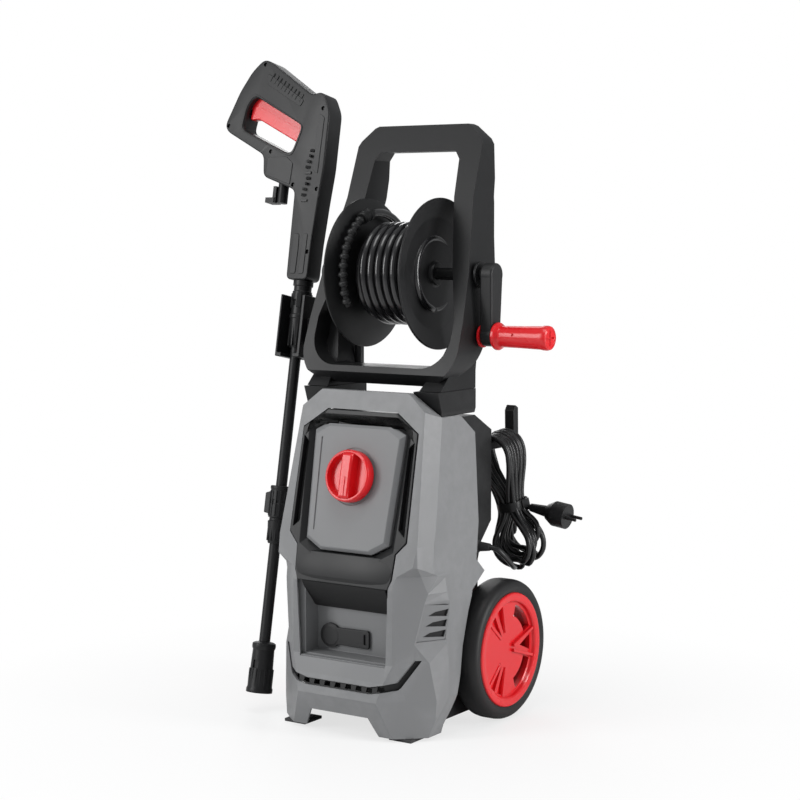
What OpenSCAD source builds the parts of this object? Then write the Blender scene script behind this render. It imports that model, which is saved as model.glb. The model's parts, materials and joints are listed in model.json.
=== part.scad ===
// Upright electric pressure washer with a hose reel, a crank, a spray gun and a lance.
// Millimetres. +X is the machine's left-to-right as seen from the front, +Y points to its
// back and +Z is up. The origin is on the floor, on the machine's middle plane, between the
// front feet and the wheels.

/* [Body] */
// Width of the machine across its lower body
base_w = 280; // [278:1:282]
// Width of the machine across its upper body
waist_w = 260; // [256:1:262]
// Height of the shell's shoulders above the floor
shoulder_z = 458; // [454:1:460]
// Wall thickness of the moulded covers
wall = 3; // [2.5:0.5:3.5]
// Lean of the front face from upright, in degrees
front_lean = 12.3; // [12:0.1:13]

/* [Wheels] */
// Outer radius of the tyres
tyre_r = 104; // [100:1:104]
// Width of the tyres
tyre_w = 43; // [40:1:44]
// Distance from the middle plane to the outer side of each wheel
wheel_out_x = 161; // [160:1:163]
// Position of the axle behind the origin
axle_y = 80; // [80:1:84]
// Radius of the axle
axle_r = 6; // [5:0.5:7]

/* [Frame and reel] */
// Height of the top of the handle
handle_z = 880; // [876:1:884]
// Lean of the handle frame from upright, in degrees
frame_lean = 20; // [19.5:0.5:20.5]
// Position of the reel's axis behind the origin
reel_y = 31; // [30:1:32]
// Height of the reel's axis
reel_z = 660; // [658:1:662]
// Radius of the reel's flanges
flange_r = 111; // [108:1:112]
// Outer diameter of the high-pressure hose
hose_d = 12; // [11:0.5:12]
// Distance from the reel's axis to the crank grip's axis
crank_throw = 88; // [84:1:90]

/* [Gun and lance] */
// Distance of the lance's axis from the middle plane
lance_x = 178; // [176:1:180]
// Lean of the lance from upright, in degrees
lance_lean = 10.8; // [10.6:0.1:11]
// Diameter of the lance tubes
tube_d = 17; // [16:0.5:18]
// Thickness of the gun across its two shells
gun_t = 34; // [32:1:36]

/* [Power cord] */
// Diameter of the power cord
cord_d = 8; // [7.5:0.5:8]

/* [Hidden] */
$fn = 64;

GREY = "#8f9193";
BLACK = "#1d1e20";
DARK = "#3a3b3d";
RED = "#d8202a";
STEEL = "#b9bcc0";
BRASS = "#b8964a";
COPPER = "#a8623a";
CLEAR = "#d9dde0";

gap = 0.4;                          // gap between neighbouring mouldings
far = 400;                          // length of a cut that runs right through
hw = base_w / 2;
ww = waist_w / 2;
chin_z = 218;                       // lower edge of the bezel, where the front is furthest out
chin_y = -129;
ledge_z = 244;                      // height where the front corners step outwards
ridge_low = [120.5, -115.3, 281];   // a point on the ridge between the front and the side
lip_z = 492;                        // top of the shell's front lip
top_w = 118;                        // half width of the shell at its shoulders
tray_back_y = -88;
motor_y = 18;
motor_r = 50;
shaft_r = 8;
knob_z = 371;
knob_r = 38;
spindle_knob_r = 6;                 // radius of the knob's spindle in the switch
hub_r = 85;
hub_bore_r = axle_r + 0.05;
hub_bore_end = wheel_out_x - 12;
hub_inner_r = 14;                   // radius of the hub's inner boss
flange_x = 57;                      // middle of each reel flange's web
drum_r = 46;
spindle_r = 9;
arm_x0 = 142;
arm_x1 = 162;
grip_r = 17;
grip_end_x = 252;
grip_y = reel_y - 3;
grip_z = reel_z - crank_throw;
pin_r = 5;
lance_y0 = -97.3;                   // where the lance's axis meets the height lance_z0
lance_z0 = 14;
gun_bottom = 643;                   // distance of the gun's lower end along the lance's axis
trig_pivot = [-14, 893];
trig_t = 13;
trig_pin_r = 2;
screw_y = -gun_t / 2 + 6;           // floor of the gun's screw recesses
GUN_SCREWS = [[-107, 982], [-167, 886], [-78, 843], [14, 908], [18, 783], [-28, 790],
    [13, 686]];
pipe_pos = [-86, 40];               // feed pipe beside the reel's left flange
pipe_top = reel_z - 20;
hook_x = 98;                        // middle of the cord hook
hook_z = 402;                       // middle of the cord hook's arm
relief_pos = [112.4, 58, 258];
hank_top = [98, 134, 430];
hank_h = 224;                       // height of the hung cord loops
hank_t = 64;                        // thickness of the loops side by side
hank_tilt_x = 8;                    // how far the loops lean back, in degrees
hank_tilt_y = -10;                  // how far the loops lean outwards, in degrees
// Route of the lead from the strain relief down behind the wheel and up to the hung loops
LEAD = [[133.5, 61, 258], [144, 64, 255], [151, 73, 245], [152, 87, 234], [149, 101, 226],
    [144, 114, 221], [138, 126, 220]];

function front_y(z) = chin_y + (z - chin_z) * tan(front_lean);
function arc(cx, cy, r, a0, a1, n) =
    [for (i = [0:n]) let (a = a0 + (a1 - a0) * i / n) [cx + r * cos(a), cy + r * sin(a)]];
function both_sides(p) =
    concat(p, [for (i = [len(p) - 1:-1:0]) if (p[i].x > 0) [-p[i].x, p[i].y]]);
function unit(v) = v / norm(v);

// Extrudes a (Y, Z) outline along X, centred on x = 0
module along_x(w) {
    rotate([90, 0, 90])
        linear_extrude(w, center = true)
            children();
}

// Extrudes an (X, Z) outline along Y from y0 to y1
module along_y(y0, y1) {
    translate([0, y1, 0])
        rotate([90, 0, 0])
            linear_extrude(y1 - y0)
                children();
}

// Cylinder along +X from x0 to x1
module rod_x(r, x0, x1, y, z) {
    translate([x0, y, z])
        rotate([0, 90, 0])
            cylinder(h = x1 - x0, r = r);
}

module box(lo, hi) {
    translate(lo)
        cube(hi - lo);
}

module mirror_pair() {
    children();
    mirror([1, 0, 0])
        children();
}

// Slab that follows the leaning front face, from y offset a to y offset b
module front_slab(a, b, z0, z1) {
    along_x(far)
        polygon([[front_y(z0) + a, z0], [front_y(z1) + a, z1],
            [front_y(z1) + b, z1], [front_y(z0) + b, z0]]);
}

// ---- body ----

// Side outline of the shell, drawn in by t; its back edge passes in front of the wheels
module shell_side(t, back) {
    polygon([[-126 + t, -1], [-131 + t, 14], [-143 + t, 57], [-136 + t, 86],
        [-128 + t, 110], [chin_y + t, chin_z], [front_y(lip_z) + t, lip_z - t],
        [-58, lip_z - t], [-46, shoulder_z - t], [back + 50, shoulder_z - t],
        [back + 36, 300], [back + 27, 245], [back + 45, 226], [back + 5, 204],
        [back - 9, 175], [back - 25, 127], [back - 31, 86], [back - 40, 55],
        [back - 60, 18], [back - 60, -1]]);
}

module shell_plan_low(t) {
    polygon(both_sides([[62, -148 + t], [90 - t, -125 + t], [118 - t, -103 + t],
        [133 - t, -87 + t], [hw - t, -70], [hw - t, 120]]));
}

module shell_plan_high(t) {
    polygon(both_sides([[100, -135 + t], [124 - t, -116 + t], [134 - t, -85 + t],
        [hw - t, -62], [hw - t, 120]]));
}

// Everything outside the leaning facet between the front and the side, above the ledge
module facet_cut(t) {
    translate([ridge_low.x - 0.941 * t, ridge_low.y + 0.311 * t, ridge_low.z - 0.135 * t])
        rotate([0, -7.76, -18.26])
            translate([0, -200, -300])
                cube([200, 400, 600]);
}

module shell_front(t) {
    polygon(both_sides([[124 - t, -1], [136 - t, 40], [hw - t, 62], [hw - t, 190],
        [ww + 1 - t, 245], [ww - 1 - t, 300], [top_w - t, shoulder_z - t],
        [76 - t, lip_z - t]]));
}

module shell_solid(t, back) {
    difference() {
        intersection() {
            along_x(far) shell_side(t, back);
            union() {
                translate([0, 0, -5]) linear_extrude(ledge_z + 5) shell_plan_low(t);
                translate([0, 0, ledge_z - t]) linear_extrude(far) shell_plan_high(t);
            }
            along_y(-far, far) shell_front(t);
        }
        mirror_pair() facet_cut(t);
    }
}

// The one big opening in the front that holds the bezel and the niche
module front_opening(t) {
    polygon(both_sides([[75 - t, 106 + t], [80 - t, 222], [85 - t, 232], [87 - t, 268],
        [103 - t, 285], [101 - t, 437 - t / 2], [61 - t / 2, 465 - t]]));
}

module grille_outline(t) {
    polygon(both_sides([[88 - t, 70 + t], [90 - t, 72 + t], [113 - t, 112 - t],
        [105, 112 - t], [86 + t, 79 - t]]));
}

module louvre_window(t) {
    polygon([[-87 + t, 147 + t], [-54 - t / 2, 144 + t], [-28 - t, 193 - t],
        [-62 + t, 200 - t]]);
}

module front_shell() {
    color(GREY)
        difference() {
            shell_solid(0, 0);
            shell_solid(wall, 100);
            along_y(-200, -60) front_opening(0);
            along_y(-200, -60) grille_outline(0);
            mirror_pair()
                translate([hw - 20, 0, 0])
                    rotate([90, 0, 90])
                        linear_extrude(40)
                            louvre_window(0);
            // arch between the two front feet
            along_y(-200, -40)
                polygon([[-69, -5], [-50, 32], [50, 32], [69, -5]]);
            // roof opening for the feed pipe
            translate([pipe_pos.x, pipe_pos.y, 400]) cylinder(h = 100, r = 12);
            // foot pads are let into the feet
            box([-far, -far, -5], [far, far, 5]);
        }
}

// Lower grille: a shallow V of ribs in the slot above the skirt
module lower_grille() {
    color(BLACK)
        intersection() {
            along_y(-134, -100)
                difference() {
                    grille_outline(gap);
                    for (i = [-3.5:1:3.5])
                        translate([i * 17 - 5, 72.5])
                            square([10, 4]);
                }
            shell_solid(wall + gap, 100);
        }
}

module side_louvres() {
    color(BLACK)
        mirror_pair()
            difference() {
                translate([hw - 12, 0, 0])
                    rotate([90, 0, 90])
                        linear_extrude(9)
                            louvre_window(gap);
                for (z = [157, 172, 187])
                    translate([hw - 14, 0, z])
                        rotate([90, 0, 90])
                            linear_extrude(14)
                                polygon([[-73, -3], [-42, -3], [-38, 4], [-69, 4]]);
            }
}

module foot_pads() {
    color(DARK)
        mirror_pair()
            box([74, -118, 0], [112, -76, 4.6]);
}

module bezel_bar_cut() {
    polygon([[87, 300], [98, 292], [97, 426], [87, 420]]);
}

module front_bezel() {
    color(DARK)
        difference() {
            intersection() {
                along_y(-200, -60)
                    intersection() {
                        front_opening(gap);
                        translate([-150, chin_z]) square([300, 300]);
                    }
                front_slab(-2, 16, 200, 480);
            }
            along_y(-200, -60) panel_outline(-gap);
            along_y(-200, -60) bezel_bar_cut();
            mirror([1, 0, 0])
                along_y(-200, -60) bezel_bar_cut();
        }
}

module panel_outline(t) {
    polygon(both_sides([[45.4 - t / 2, 262.6 + t], [73 - t, 278 + t / 2],
        [80 - t, 434 - t / 2], [56 - t / 2, 447 - t]]));
}

module control_panel() {
    color(GREY)
        difference() {
            intersection() {
                along_y(-200, -60) panel_outline(0);
                front_slab(-5, 13, 200, 480);
            }
            intersection() {
                along_y(-200, -60) panel_outline(wall);
                front_slab(wall - 5, 30, 200, 480);
            }
            knob_frame(-40) cylinder(h = 80, r = 10);
        }
}

// Places its children on the panel, with +Z along the panel's outward normal
module knob_frame(dz) {
    translate([0, front_y(knob_z) - 5, knob_z])
        rotate([90 - front_lean, 0, 0])
            translate([0, 0, dz])
                children();
}

module selector_knob() {
    color(RED)
        knob_frame(0) {
            translate([0, 0, 0.6])
                difference() {
                    cylinder(h = 16, r = knob_r);
                    translate([0, 0, 6])
                        difference() {
                            cylinder(h = 20, r = knob_r - 5);
                            translate([-8, -knob_r, -1])
                                cube([16, 2 * knob_r, 30]);
                        }
                }
            translate([0, 0, 16]) cube([12, 66, 10], center = true);
            translate([0, 0, -38]) cylinder(h = 39, r = spindle_knob_r);
        }
}

module main_switch() {
    color(BLACK)
        difference() {
            knob_frame(-62) translate([-24, -24, 0]) cube([48, 48, 42]);
            knob_frame(-40) cylinder(h = 40, r = spindle_knob_r + 0.05);
        }
}

module accessory_tray() {
    color(GREY)
        difference() {
            box([-74.4, -119, 106.6], [74.4, -84, chin_z - 3]);
            box([-71.4, -150, 109.6], [71.4, tray_back_y, 260]);
            // mouth of the detergent tank
            translate([-46, -60, 132.5])
                rotate([90, 0, 0])
                    cylinder(h = 40, r = 11.5);
        }
}

// Rubber flap: a round plug on the left and a strap that hinges on its right end
module detergent_cap() {
    color(DARK)
        difference() {
            union() {
                translate([-46, tray_back_y - gap, 132.5])
                    rotate([90, 0, 0])
                        cylinder(h = 5, r = 18);
                translate([-46, tray_back_y + 3, 132.5])
                    rotate([90, 0, 0])
                        cylinder(h = 4, r = 11);
                box([-40, tray_back_y - gap - 4, 119], [22, tray_back_y - gap, 146]);
            }
            box([14, tray_back_y - 10, 126], [17, tray_back_y + 5, 139]);
        }
}

module detergent_tank() {
    color(CLEAR)
        difference() {
            union() {
                box([-72, -83, 64], [72, -50, 160]);
                translate([-46, -70, 132.5])
                    rotate([90, 0, 0])
                        cylinder(h = 14.5, r = 11);
            }
            box([-70, -81, 66], [70, -52, 158]);
            translate([-46, -70, 132.5])
                rotate([90, 0, 0])
                    cylinder(h = 30, r = 9);
        }
}

module rear_side(t) {
    polygon([[-14, 140 + t], [62 - t, 140 + t], [62 - t, 238], [72 - t, 264],
        [100 - t, 292], [100 - t, 428 - t / 2], [52, 454 - t], [-14, 454 - t]]);
}

module rear_cover() {
    color(BLACK)
        difference() {
            along_x(224) rear_side(0);
            along_x(224 - 2 * wall)
                union() {
                    rear_side(wall);
                    translate([-40, 140 + wall]) square([40, 314 - 2 * wall]);
                    translate([-20, 130]) square([82 - wall, 20]);
                }
            // cooling slots in the back
            for (i = [-4:4])
                box([i * 12 - 3, 80, 330], [i * 12 + 3, 120, 400]);
            // water inlet, strain relief and feed pipe
            translate([-52, 80, 190])
                rotate([90, 0, 0])
                    cylinder(h = 60, r = 12.2, center = true);
            rod_x(10.4, 90, 130, relief_pos.y, relief_pos.z);
            translate([pipe_pos.x, pipe_pos.y, 400]) cylinder(h = 100, r = 12);
        }
}

// Open tray with two cheeks for the axle and a ring that carries the pump
module base_chassis() {
    color(BLACK)
        union() {
            difference() {
                along_x(220)
                    polygon([[-70, 14], [60, 14], [100, 50], [104, 108], [92, 136],
                        [50, 136], [10, 100], [-70, 60]]);
                along_x(208)
                    polygon([[-66, 18], [58.5, 18], [96, 52], [100, 108], [94, 140],
                        [0, 140], [-30, 120], [-66, 90]]);
                rod_x(axle_r, -120, 120, axle_y, tyre_r);
            }
            difference() {
                translate([0, motor_y, 16]) cylinder(h = 92, r = 34);
                translate([0, motor_y, 18]) cylinder(h = 92, r = 31);
            }
        }
}

module housing_screws() {
    color(STEEL)
        for (x = [-96, 96], z = [310, 380])
            translate([x, 101.2, z])
                rotate([90, 0, 0])
                    cylinder(h = 1.1, r = 4);
}

// ---- wheels ----

module axle() {
    color(STEEL)
        rod_x(axle_r, -hub_bore_end, hub_bore_end, axle_y, tyre_r);
}

module axle_clips() {
    color(STEEL)
        mirror_pair()
            difference() {
                rod_x(11, 110.5, 112.5, axle_y, tyre_r);
                rod_x(axle_r, 100, 120, axle_y, tyre_r);
            }
}

// Wheel solids are turned about the axle's line, with the outer side at +Z
module on_axle() {
    translate([0, axle_y, tyre_r])
        rotate([0, 90, 0])
            children();
}

module tyre_solid() {
    x0 = wheel_out_x - tyre_w;
    on_axle()
        rotate_extrude($fn = 96)
            polygon([[hub_r + 0.4, x0 + 4], [tyre_r - 8, x0], [tyre_r - 2, x0 + 5],
                [tyre_r, x0 + 12], [tyre_r, wheel_out_x - 14], [tyre_r - 3, wheel_out_x - 5],
                [tyre_r - 10, wheel_out_x - 1], [hub_r + 0.4, wheel_out_x - 3]]);
}

module hub_solid() {
    x0 = wheel_out_x - tyre_w;
    difference() {
        on_axle()
            rotate_extrude($fn = 96)
                polygon([[0, x0 - 2], [hub_inner_r, x0 - 2], [hub_inner_r, wheel_out_x - 16],
                    [hub_r - 8, wheel_out_x - 14], [hub_r - 8, x0 + 6], [hub_r, x0 + 6],
                    [hub_r, wheel_out_x - 2], [hub_r - 8, wheel_out_x],
                    [hub_r - 22, wheel_out_x - 8], [0, wheel_out_x - 8]]);
        rod_x(hub_bore_r, x0 - 5, hub_bore_end + 0.5, axle_y, tyre_r);
        // two long arc windows on one half and three small windows between the spokes
        translate([0, axle_y, tyre_r])
            rotate([90, 0, 90])
                linear_extrude(far)
                    for (a = [-62, 14])
                        rotate(a)
                            polygon(concat(arc(0, 0, 62, 0, 48, 12),
                                arc(0, 0, 50, 48, 0, 12)));
    }
}

module tyre_right() {
    color(BLACK) tyre_solid();
}

module tyre_left() {
    color(BLACK) mirror([1, 0, 0]) tyre_solid();
}

module wheel_hub_right() {
    color(RED) hub_solid();
}

module wheel_hub_left() {
    color(RED) mirror([1, 0, 0]) hub_solid();
}

// ---- motor and pump ----

module turned(z) {
    translate([0, motor_y, z])
        rotate_extrude()
            children();
}

module motor_housing() {
    color(STEEL)
        turned(0)
            polygon([[shaft_r + 3, 262], [motor_r, 262], [motor_r, 404], [shaft_r + 3, 404],
                [shaft_r + 3, 400], [motor_r - 4, 400], [motor_r - 4, 380], [36, 376],
                [36, 290], [motor_r - 4, 286], [motor_r - 4, 266], [shaft_r + 3, 266]]);
}

module motor_rotor() {
    color(COPPER)
        turned(0)
            polygon([[0, 231], [shaft_r, 231], [shaft_r, 294], [34, 294], [34, 372],
                [shaft_r, 372], [shaft_r, 424], [0, 424]]);
}

module cooling_fan() {
    color(BLACK)
        difference() {
            union() {
                turned(0)
                    polygon([[shaft_r, 407], [46, 407], [46, 409], [14, 409], [14, 421],
                        [shaft_r, 421]]);
                for (i = [0:8])
                    translate([0, motor_y, 408])
                        rotate(i * 40)
                            translate([16, -1, 0])
                                cube([28, 2, 12]);
            }
            translate([0, motor_y, 400]) cylinder(h = 40, r = shaft_r);
        }
}

module wobble_plate() {
    color(STEEL)
        difference() {
            translate([0, motor_y, 226])
                rotate([6, 0, 0])
                    cylinder(h = 10, r = 30);
            translate([0, motor_y, 230.5]) cylinder(h = 60, r = shaft_r);
        }
}

module pump_body() {
    color(CLEAR)
        difference() {
            turned(0)
                polygon([[0, 150], [40, 150], [40, 261.6], [shaft_r + 2, 261.6],
                    [shaft_r + 2, 256], [36, 256], [36, 214], [0, 214]]);
            for (a = [90, 210, 330])
                translate([0, motor_y, 140])
                    rotate(a)
                        translate([22, 0, 0])
                            cylinder(h = 100, r = 6.4);
        }
}

module pump_pistons() {
    color(STEEL)
        for (a = [90, 210, 330])
            translate([0, motor_y, 158])
                rotate(a)
                    translate([22, 0, 0])
                        cylinder(h = 62, r = 6.3);
}

module pump_head() {
    color(STEEL)
        difference() {
            union() {
                translate([0, motor_y, 108.2]) cylinder(h = 41.6, r = 40);
                box([-62, motor_y - 16, 112], [-30, motor_y + 16, 140]);
            }
            translate([-52, motor_y + 30, 126])
                rotate([90, 0, 0])
                    cylinder(h = 30, r = 7);
        }
}

// Male plug of the garden hose connector on the back
module water_inlet() {
    color(BRASS)
        translate([-52, 0, 190])
            rotate([-90, 0, 0])
                difference() {
                    rotate_extrude()
                        polygon([[4.5, 44], [12, 44], [12, 66], [13.5, 66], [13.5, 70],
                            [8.7, 70], [8.7, 88], [8.7, 90], [6.5, 92], [6.5, 96],
                            [8.2, 97], [8.2, 99], [4.5, 99]]);
                }
}

// Rises beside the reel's left flange into the swivel's socket
module feed_pipe() {
    color(BLACK)
        translate([pipe_pos.x, pipe_pos.y, 412]) cylinder(h = pipe_top - 412, r = 7);
}

// ---- handle frame and reel ----

module frame_outer() {
    polygon(concat([for (p = arc(90, 551, 44, -90, 0, 8)) p],
        [[134, 590], [129, 665], [112, 773], [110, 852], [81, handle_z]],
        [for (p = [[81, handle_z], [110, 852], [112, 773], [129, 665], [134, 590]])
            if (p.y < handle_z || p.x > 80) [-p.x, p.y]],
        [for (p = arc(90, 551, 44, 0, -90, 8)) [-p.x, p.y]]));
}

module frame_inner() {
    polygon(concat([for (p = arc(84, 555, 38, -90, 0, 8)) p],
        [[121, 592], [100, 668], [78, 772], [74, 830], [66, 841]],
        [for (p = [[66, 841], [74, 830], [78, 772], [100, 668], [121, 592]]) [-p.x, p.y]],
        [for (p = arc(84, 555, 38, 0, -90, 8)) [-p.x, p.y]]));
}

module frame_side() {
    front_top = -51 + (handle_z - 507) * tan(frame_lean);
    polygon([[-51, 507], [front_top, handle_z], [front_top + 16, handle_z],
        [106, 862], [108, 800], [103, 765], [90, 715], [79, 660], [59, 600], [46, 555],
        [40, 507]]);
}

// Leg at the back of the bowl's corner, down to the collar
module frame_strut() {
    intersection() {
        along_y(-60, 80)
            polygon([[84, 507], [118, 507], [118, 575], [127, 610], [114, 610], [96, 530]]);
        along_x(far)
            polygon([[-20, 507], [36, 507], [44, 555], [56, 600], [54, 610], [4, 610],
                [-8, 560]]);
    }
}

module handle_frame() {
    color(BLACK)
        difference() {
            union() {
                intersection() {
                    along_y(-200, 200)
                        difference() {
                            frame_outer();
                            frame_inner();
                        }
                    along_x(far) frame_side();
                }
                mirror_pair() frame_strut();
            }
            rod_x(spindle_r + 3, -200, 200, reel_y, reel_z);
            translate([pipe_pos.x, pipe_pos.y, 480]) cylinder(h = 160, r = 8);
        }
}

// Thick collars between the frame's legs and the body's shoulders
module frame_collars() {
    color(BLACK)
        difference() {
            mirror_pair() {
                intersection() {
                    along_y(-60, 60)
                        polygon([[80, 493], [115, 493], [117, 506.6], [86, 506.6]]);
                    along_x(far)
                        polygon([[-26, 480], [38, 480], [33, 520], [-20, 520]]);
                }
                intersection() {
                    along_y(-60, 60)
                        polygon([[76, 494], [76, 480], [top_w - 2, shoulder_z + gap],
                            [top_w, 466], [top_w, 494]]);
                    along_x(far)
                        polygon([[-45.4, shoulder_z + gap], [45, shoulder_z + gap],
                            [45, 494], [-57.8, 494], [-57.4, lip_z + gap]]);
                }
            }
            translate([pipe_pos.x, pipe_pos.y, 440]) cylinder(h = 80, r = 8);
        }
}

module reel_drum() {
    color(BLACK)
        difference() {
            union() {
                difference() {
                    rod_x(drum_r, -flange_x + 3, flange_x - 3, reel_y, reel_z);
                    rod_x(drum_r - 3, -flange_x + 6, flange_x - 6, reel_y, reel_z);
                }
                rod_x(spindle_r, -122, arm_x0, reel_y, reel_z);
            }
            rod_x(3, -130, -60, reel_y, reel_z);
        }
}

module flange_solid() {
    translate([0, reel_y, reel_z])
        rotate([0, 90, 0])
            rotate_extrude($fn = 96)
                polygon([[spindle_r, flange_x + 5], [spindle_r, flange_x - 2.8],
                    [drum_r, flange_x - 2.8], [flange_r - 14, flange_x - 1],
                    [flange_r, flange_x - 1], [flange_r, flange_x + 6],
                    [flange_r - 3, flange_x + 6], [flange_r - 5, flange_x + 2],
                    [flange_r - 15, flange_x + 2], [drum_r, flange_x + 1],
                    [spindle_r + 8, flange_x + 1], [spindle_r + 8, flange_x + 5]]);
}

module reel_flange_right() {
    color(BLACK) flange_solid();
}

module reel_flange_left() {
    color(BLACK) mirror([1, 0, 0]) flange_solid();
}

module hose_winding() {
    color("#111214")
        translate([0, reel_y, reel_z])
            rotate([0, 90, 0])
                rotate_extrude($fn = 96)
                    translate([drum_r + 0.3, -flange_x + 3.2])
                        square([2.5 * hose_d, 2 * flange_x - 6.4]);
}

// Connector and ribbed sleeve at the hose's outer end, beside the left flange
module hose_end() {
    color(BLACK)
        translate([-flange_x + 12, reel_y, reel_z])
            rotate([0, 90, 0])
                rotate_extrude(angle = 84, start = 140)
                    translate([90, 0])
                        circle(r = 7, $fn = 24);
}

module reel_swivel() {
    color(BRASS)
        difference() {
            union() {
                rod_x(16, -95, -76, reel_y, reel_z);
                translate([pipe_pos.x, pipe_pos.y, pipe_top - 12]) cylinder(h = 26, r = 9);
            }
            rod_x(spindle_r + 0.05, -100, -60, reel_y, reel_z);
            translate([pipe_pos.x, pipe_pos.y, pipe_top - 20]) cylinder(h = 20, r = 7);
        }
}

module reel_bushes() {
    color(DARK)
        mirror_pair()
            difference() {
                union() {
                    rod_x(spindle_r + 3, 100, 132, reel_y, reel_z);
                    rod_x(19, 132, 136, reel_y, reel_z);
                }
                rod_x(spindle_r + 0.05, 90, 140, reel_y, reel_z);
            }
}

module crank_arm() {
    color(DARK)
        difference() {
            union() {
                rod_x(17, arm_x0, arm_x1, reel_y, reel_z);
                rod_x(15, arm_x0, arm_x1, grip_y, grip_z);
                translate([(arm_x0 + arm_x1) / 2, 0, 0])
                    along_x(arm_x1 - arm_x0)
                        polygon([[reel_y - 16.5, reel_z], [reel_y + 16.5, reel_z],
                            [grip_y + 13, grip_z], [grip_y - 13, grip_z]]);
            }
            rod_x(pin_r, 100, 200, grip_y, grip_z);
        }
}

module crank_pin() {
    color(STEEL)
        union() {
            rod_x(pin_r, arm_x0, grip_end_x - 8, grip_y, grip_z);
            rod_x(grip_r, arm_x0 - 4, arm_x0, grip_y, grip_z);
        }
}

module crank_grip() {
    color(RED)
        difference() {
            union() {
                rod_x(grip_r + 3, arm_x1 + gap, arm_x1 + 9, grip_y, grip_z);
                rod_x(grip_r - 1, arm_x1 + 8, grip_end_x - 20, grip_y, grip_z);
                rod_x(grip_r, grip_end_x - 24, grip_end_x, grip_y, grip_z);
            }
            rod_x(pin_r + 0.05, 100, grip_end_x - 7, grip_y, grip_z);
        }
}

// ---- gun and lance ----

// Places its children on the lance's leaning axis, with +Z up along it
module on_lance(along) {
    translate([-lance_x, lance_y0, lance_z0])
        rotate([-lance_lean, 0, 0])
            translate([0, 0, along])
                children();
}

module gun_outline() {
    difference() {
        polygon([[18, gun_bottom], [19, 700], [23, 767], [27, 815], [27, 906], [10, 934],
            [-6, 929], [-98, 988], [-112, 990], [-132, 972], [-152, 941], [-175, 888],
            [-169, 877], [-92, 838], [-88, 804], [-24, 782], [-22, gun_bottom]]);
        polygon([[-133, 915], [-120, 932], [-26, 884], [-25, 876], [-37, 843],
            [-46, 840], [-139, 880]]);
    }
}

// One gun half, from y = 0 to the outside, with the channels for trigger, valve and screws
module gun_half() {
    difference() {
        rotate([90, 0, 0])
            linear_extrude(gun_t / 2)
                gun_outline();
        // channel that the trigger swings in
        translate([0, 1, 0])
            rotate([90, 0, 0])
                linear_extrude(1 + trig_t / 2 + 0.5)
                    polygon([[-128, 968], [-110, 978], [0, 910], [6, 892], [-6, 872],
                        [-40, 866], [-148, 910]]);
        // hollows for the valve, the lance's tube and the hose inlet
        translate([0, 0, 720]) cylinder(h = 120, r = 12);
        translate([0, 0, 659]) cylinder(h = 62, r = 8.7);
        translate([0, 0, 600]) cylinder(h = 60, r = tube_d / 2 + 0.05);
        translate([-58, 0, 770]) cylinder(h = 40, r = 8.6);
        for (s = GUN_SCREWS)
            translate([s.x, 5, s.y])
                rotate([90, 0, 0])
                    cylinder(h = 60, r = 1.6);
        for (s = GUN_SCREWS)
            translate([s.x, screw_y, s.y])
                rotate([90, 0, 0])
                    cylinder(h = 20, r = 3.4);
    }
}

// The front half also carries the pin that the trigger turns on
module gun_shell_front() {
    color(DARK)
        on_lance(0)
            union() {
                gun_half();
                translate([trig_pivot.x, 6.8, trig_pivot.y])
                    rotate([90, 0, 0])
                        cylinder(h = 15, r = trig_pin_r);
            }
}

module gun_shell_back() {
    color(DARK)
        on_lance(0) mirror([0, 1, 0]) gun_half();
}

module gun_trigger() {
    color(RED)
        on_lance(0)
            difference() {
                translate([0, trig_t / 2, 0])
                    rotate([90, 0, 0])
                        linear_extrude(trig_t)
                            polygon(concat([[-118, 946]],
                                arc(trig_pivot.x, trig_pivot.y, 8, 70, -110, 9),
                                [[-30, 876], [-112, 914], [-136, 914], [-136, 922]]));
                translate([trig_pivot.x, 0, trig_pivot.y])
                    rotate([90, 0, 0])
                        cylinder(h = 60, r = trig_pin_r + 0.05, center = true);
            }
}

module trigger_lock() {
    color(DARK)
        on_lance(0)
            translate([0, 6, 0])
                rotate([90, 0, 0])
                    linear_extrude(12)
                        polygon([[-133.3, 970.7], [-151, 943.2], [-153.7, 945.2],
                            [-136.2, 972.7]]);
}

module gun_valve() {
    color(BRASS)
        on_lance(0)
            union() {
                translate([0, 0, 724]) cylinder(h = 96, r = 11);
                translate([0, 0, 660]) cylinder(h = 64, r = 8);
            }
}

module gun_inlet() {
    color(BLACK)
        on_lance(0)
            union() {
                translate([-58, 0, 764]) cylinder(h = 44, r = 8.2);
                translate([-84, -10, 764]) cube([16, 20, 8]);
                translate([-72, -8, 764]) cube([6, 16, 26]);
            }
}

module gun_screws() {
    color(STEEL)
        on_lance(0)
            for (s = GUN_SCREWS)
                translate([s.x, screw_y, s.y])
                    rotate([90, 0, 0])
                        union() {
                            cylinder(h = 3, r = 3);
                            translate([0, 0, -15]) cylinder(h = 16, r = 1.5);
                        }
}

module lance_coupling() {
    color(BLACK)
        on_lance(0)
            difference() {
                union() {
                    translate([0, 0, 590]) cylinder(h = gun_bottom - 590 - gap, r = 15);
                    translate([0, 0, 584]) cylinder(h = 6, r = 16);
                    translate([0, 0, 540]) cylinder(h = 44, r1 = 11, r2 = 15.5);
                }
                translate([0, 0, 500]) cylinder(h = 200, r = tube_d / 2);
            }
}

module lance_tube_upper() {
    color(BLACK)
        on_lance(320)
            difference() {
                cylinder(h = 338, r = tube_d / 2);
                translate([0, 0, -1]) cylinder(h = 400, r = tube_d / 2 - 2);
            }
}

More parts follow.
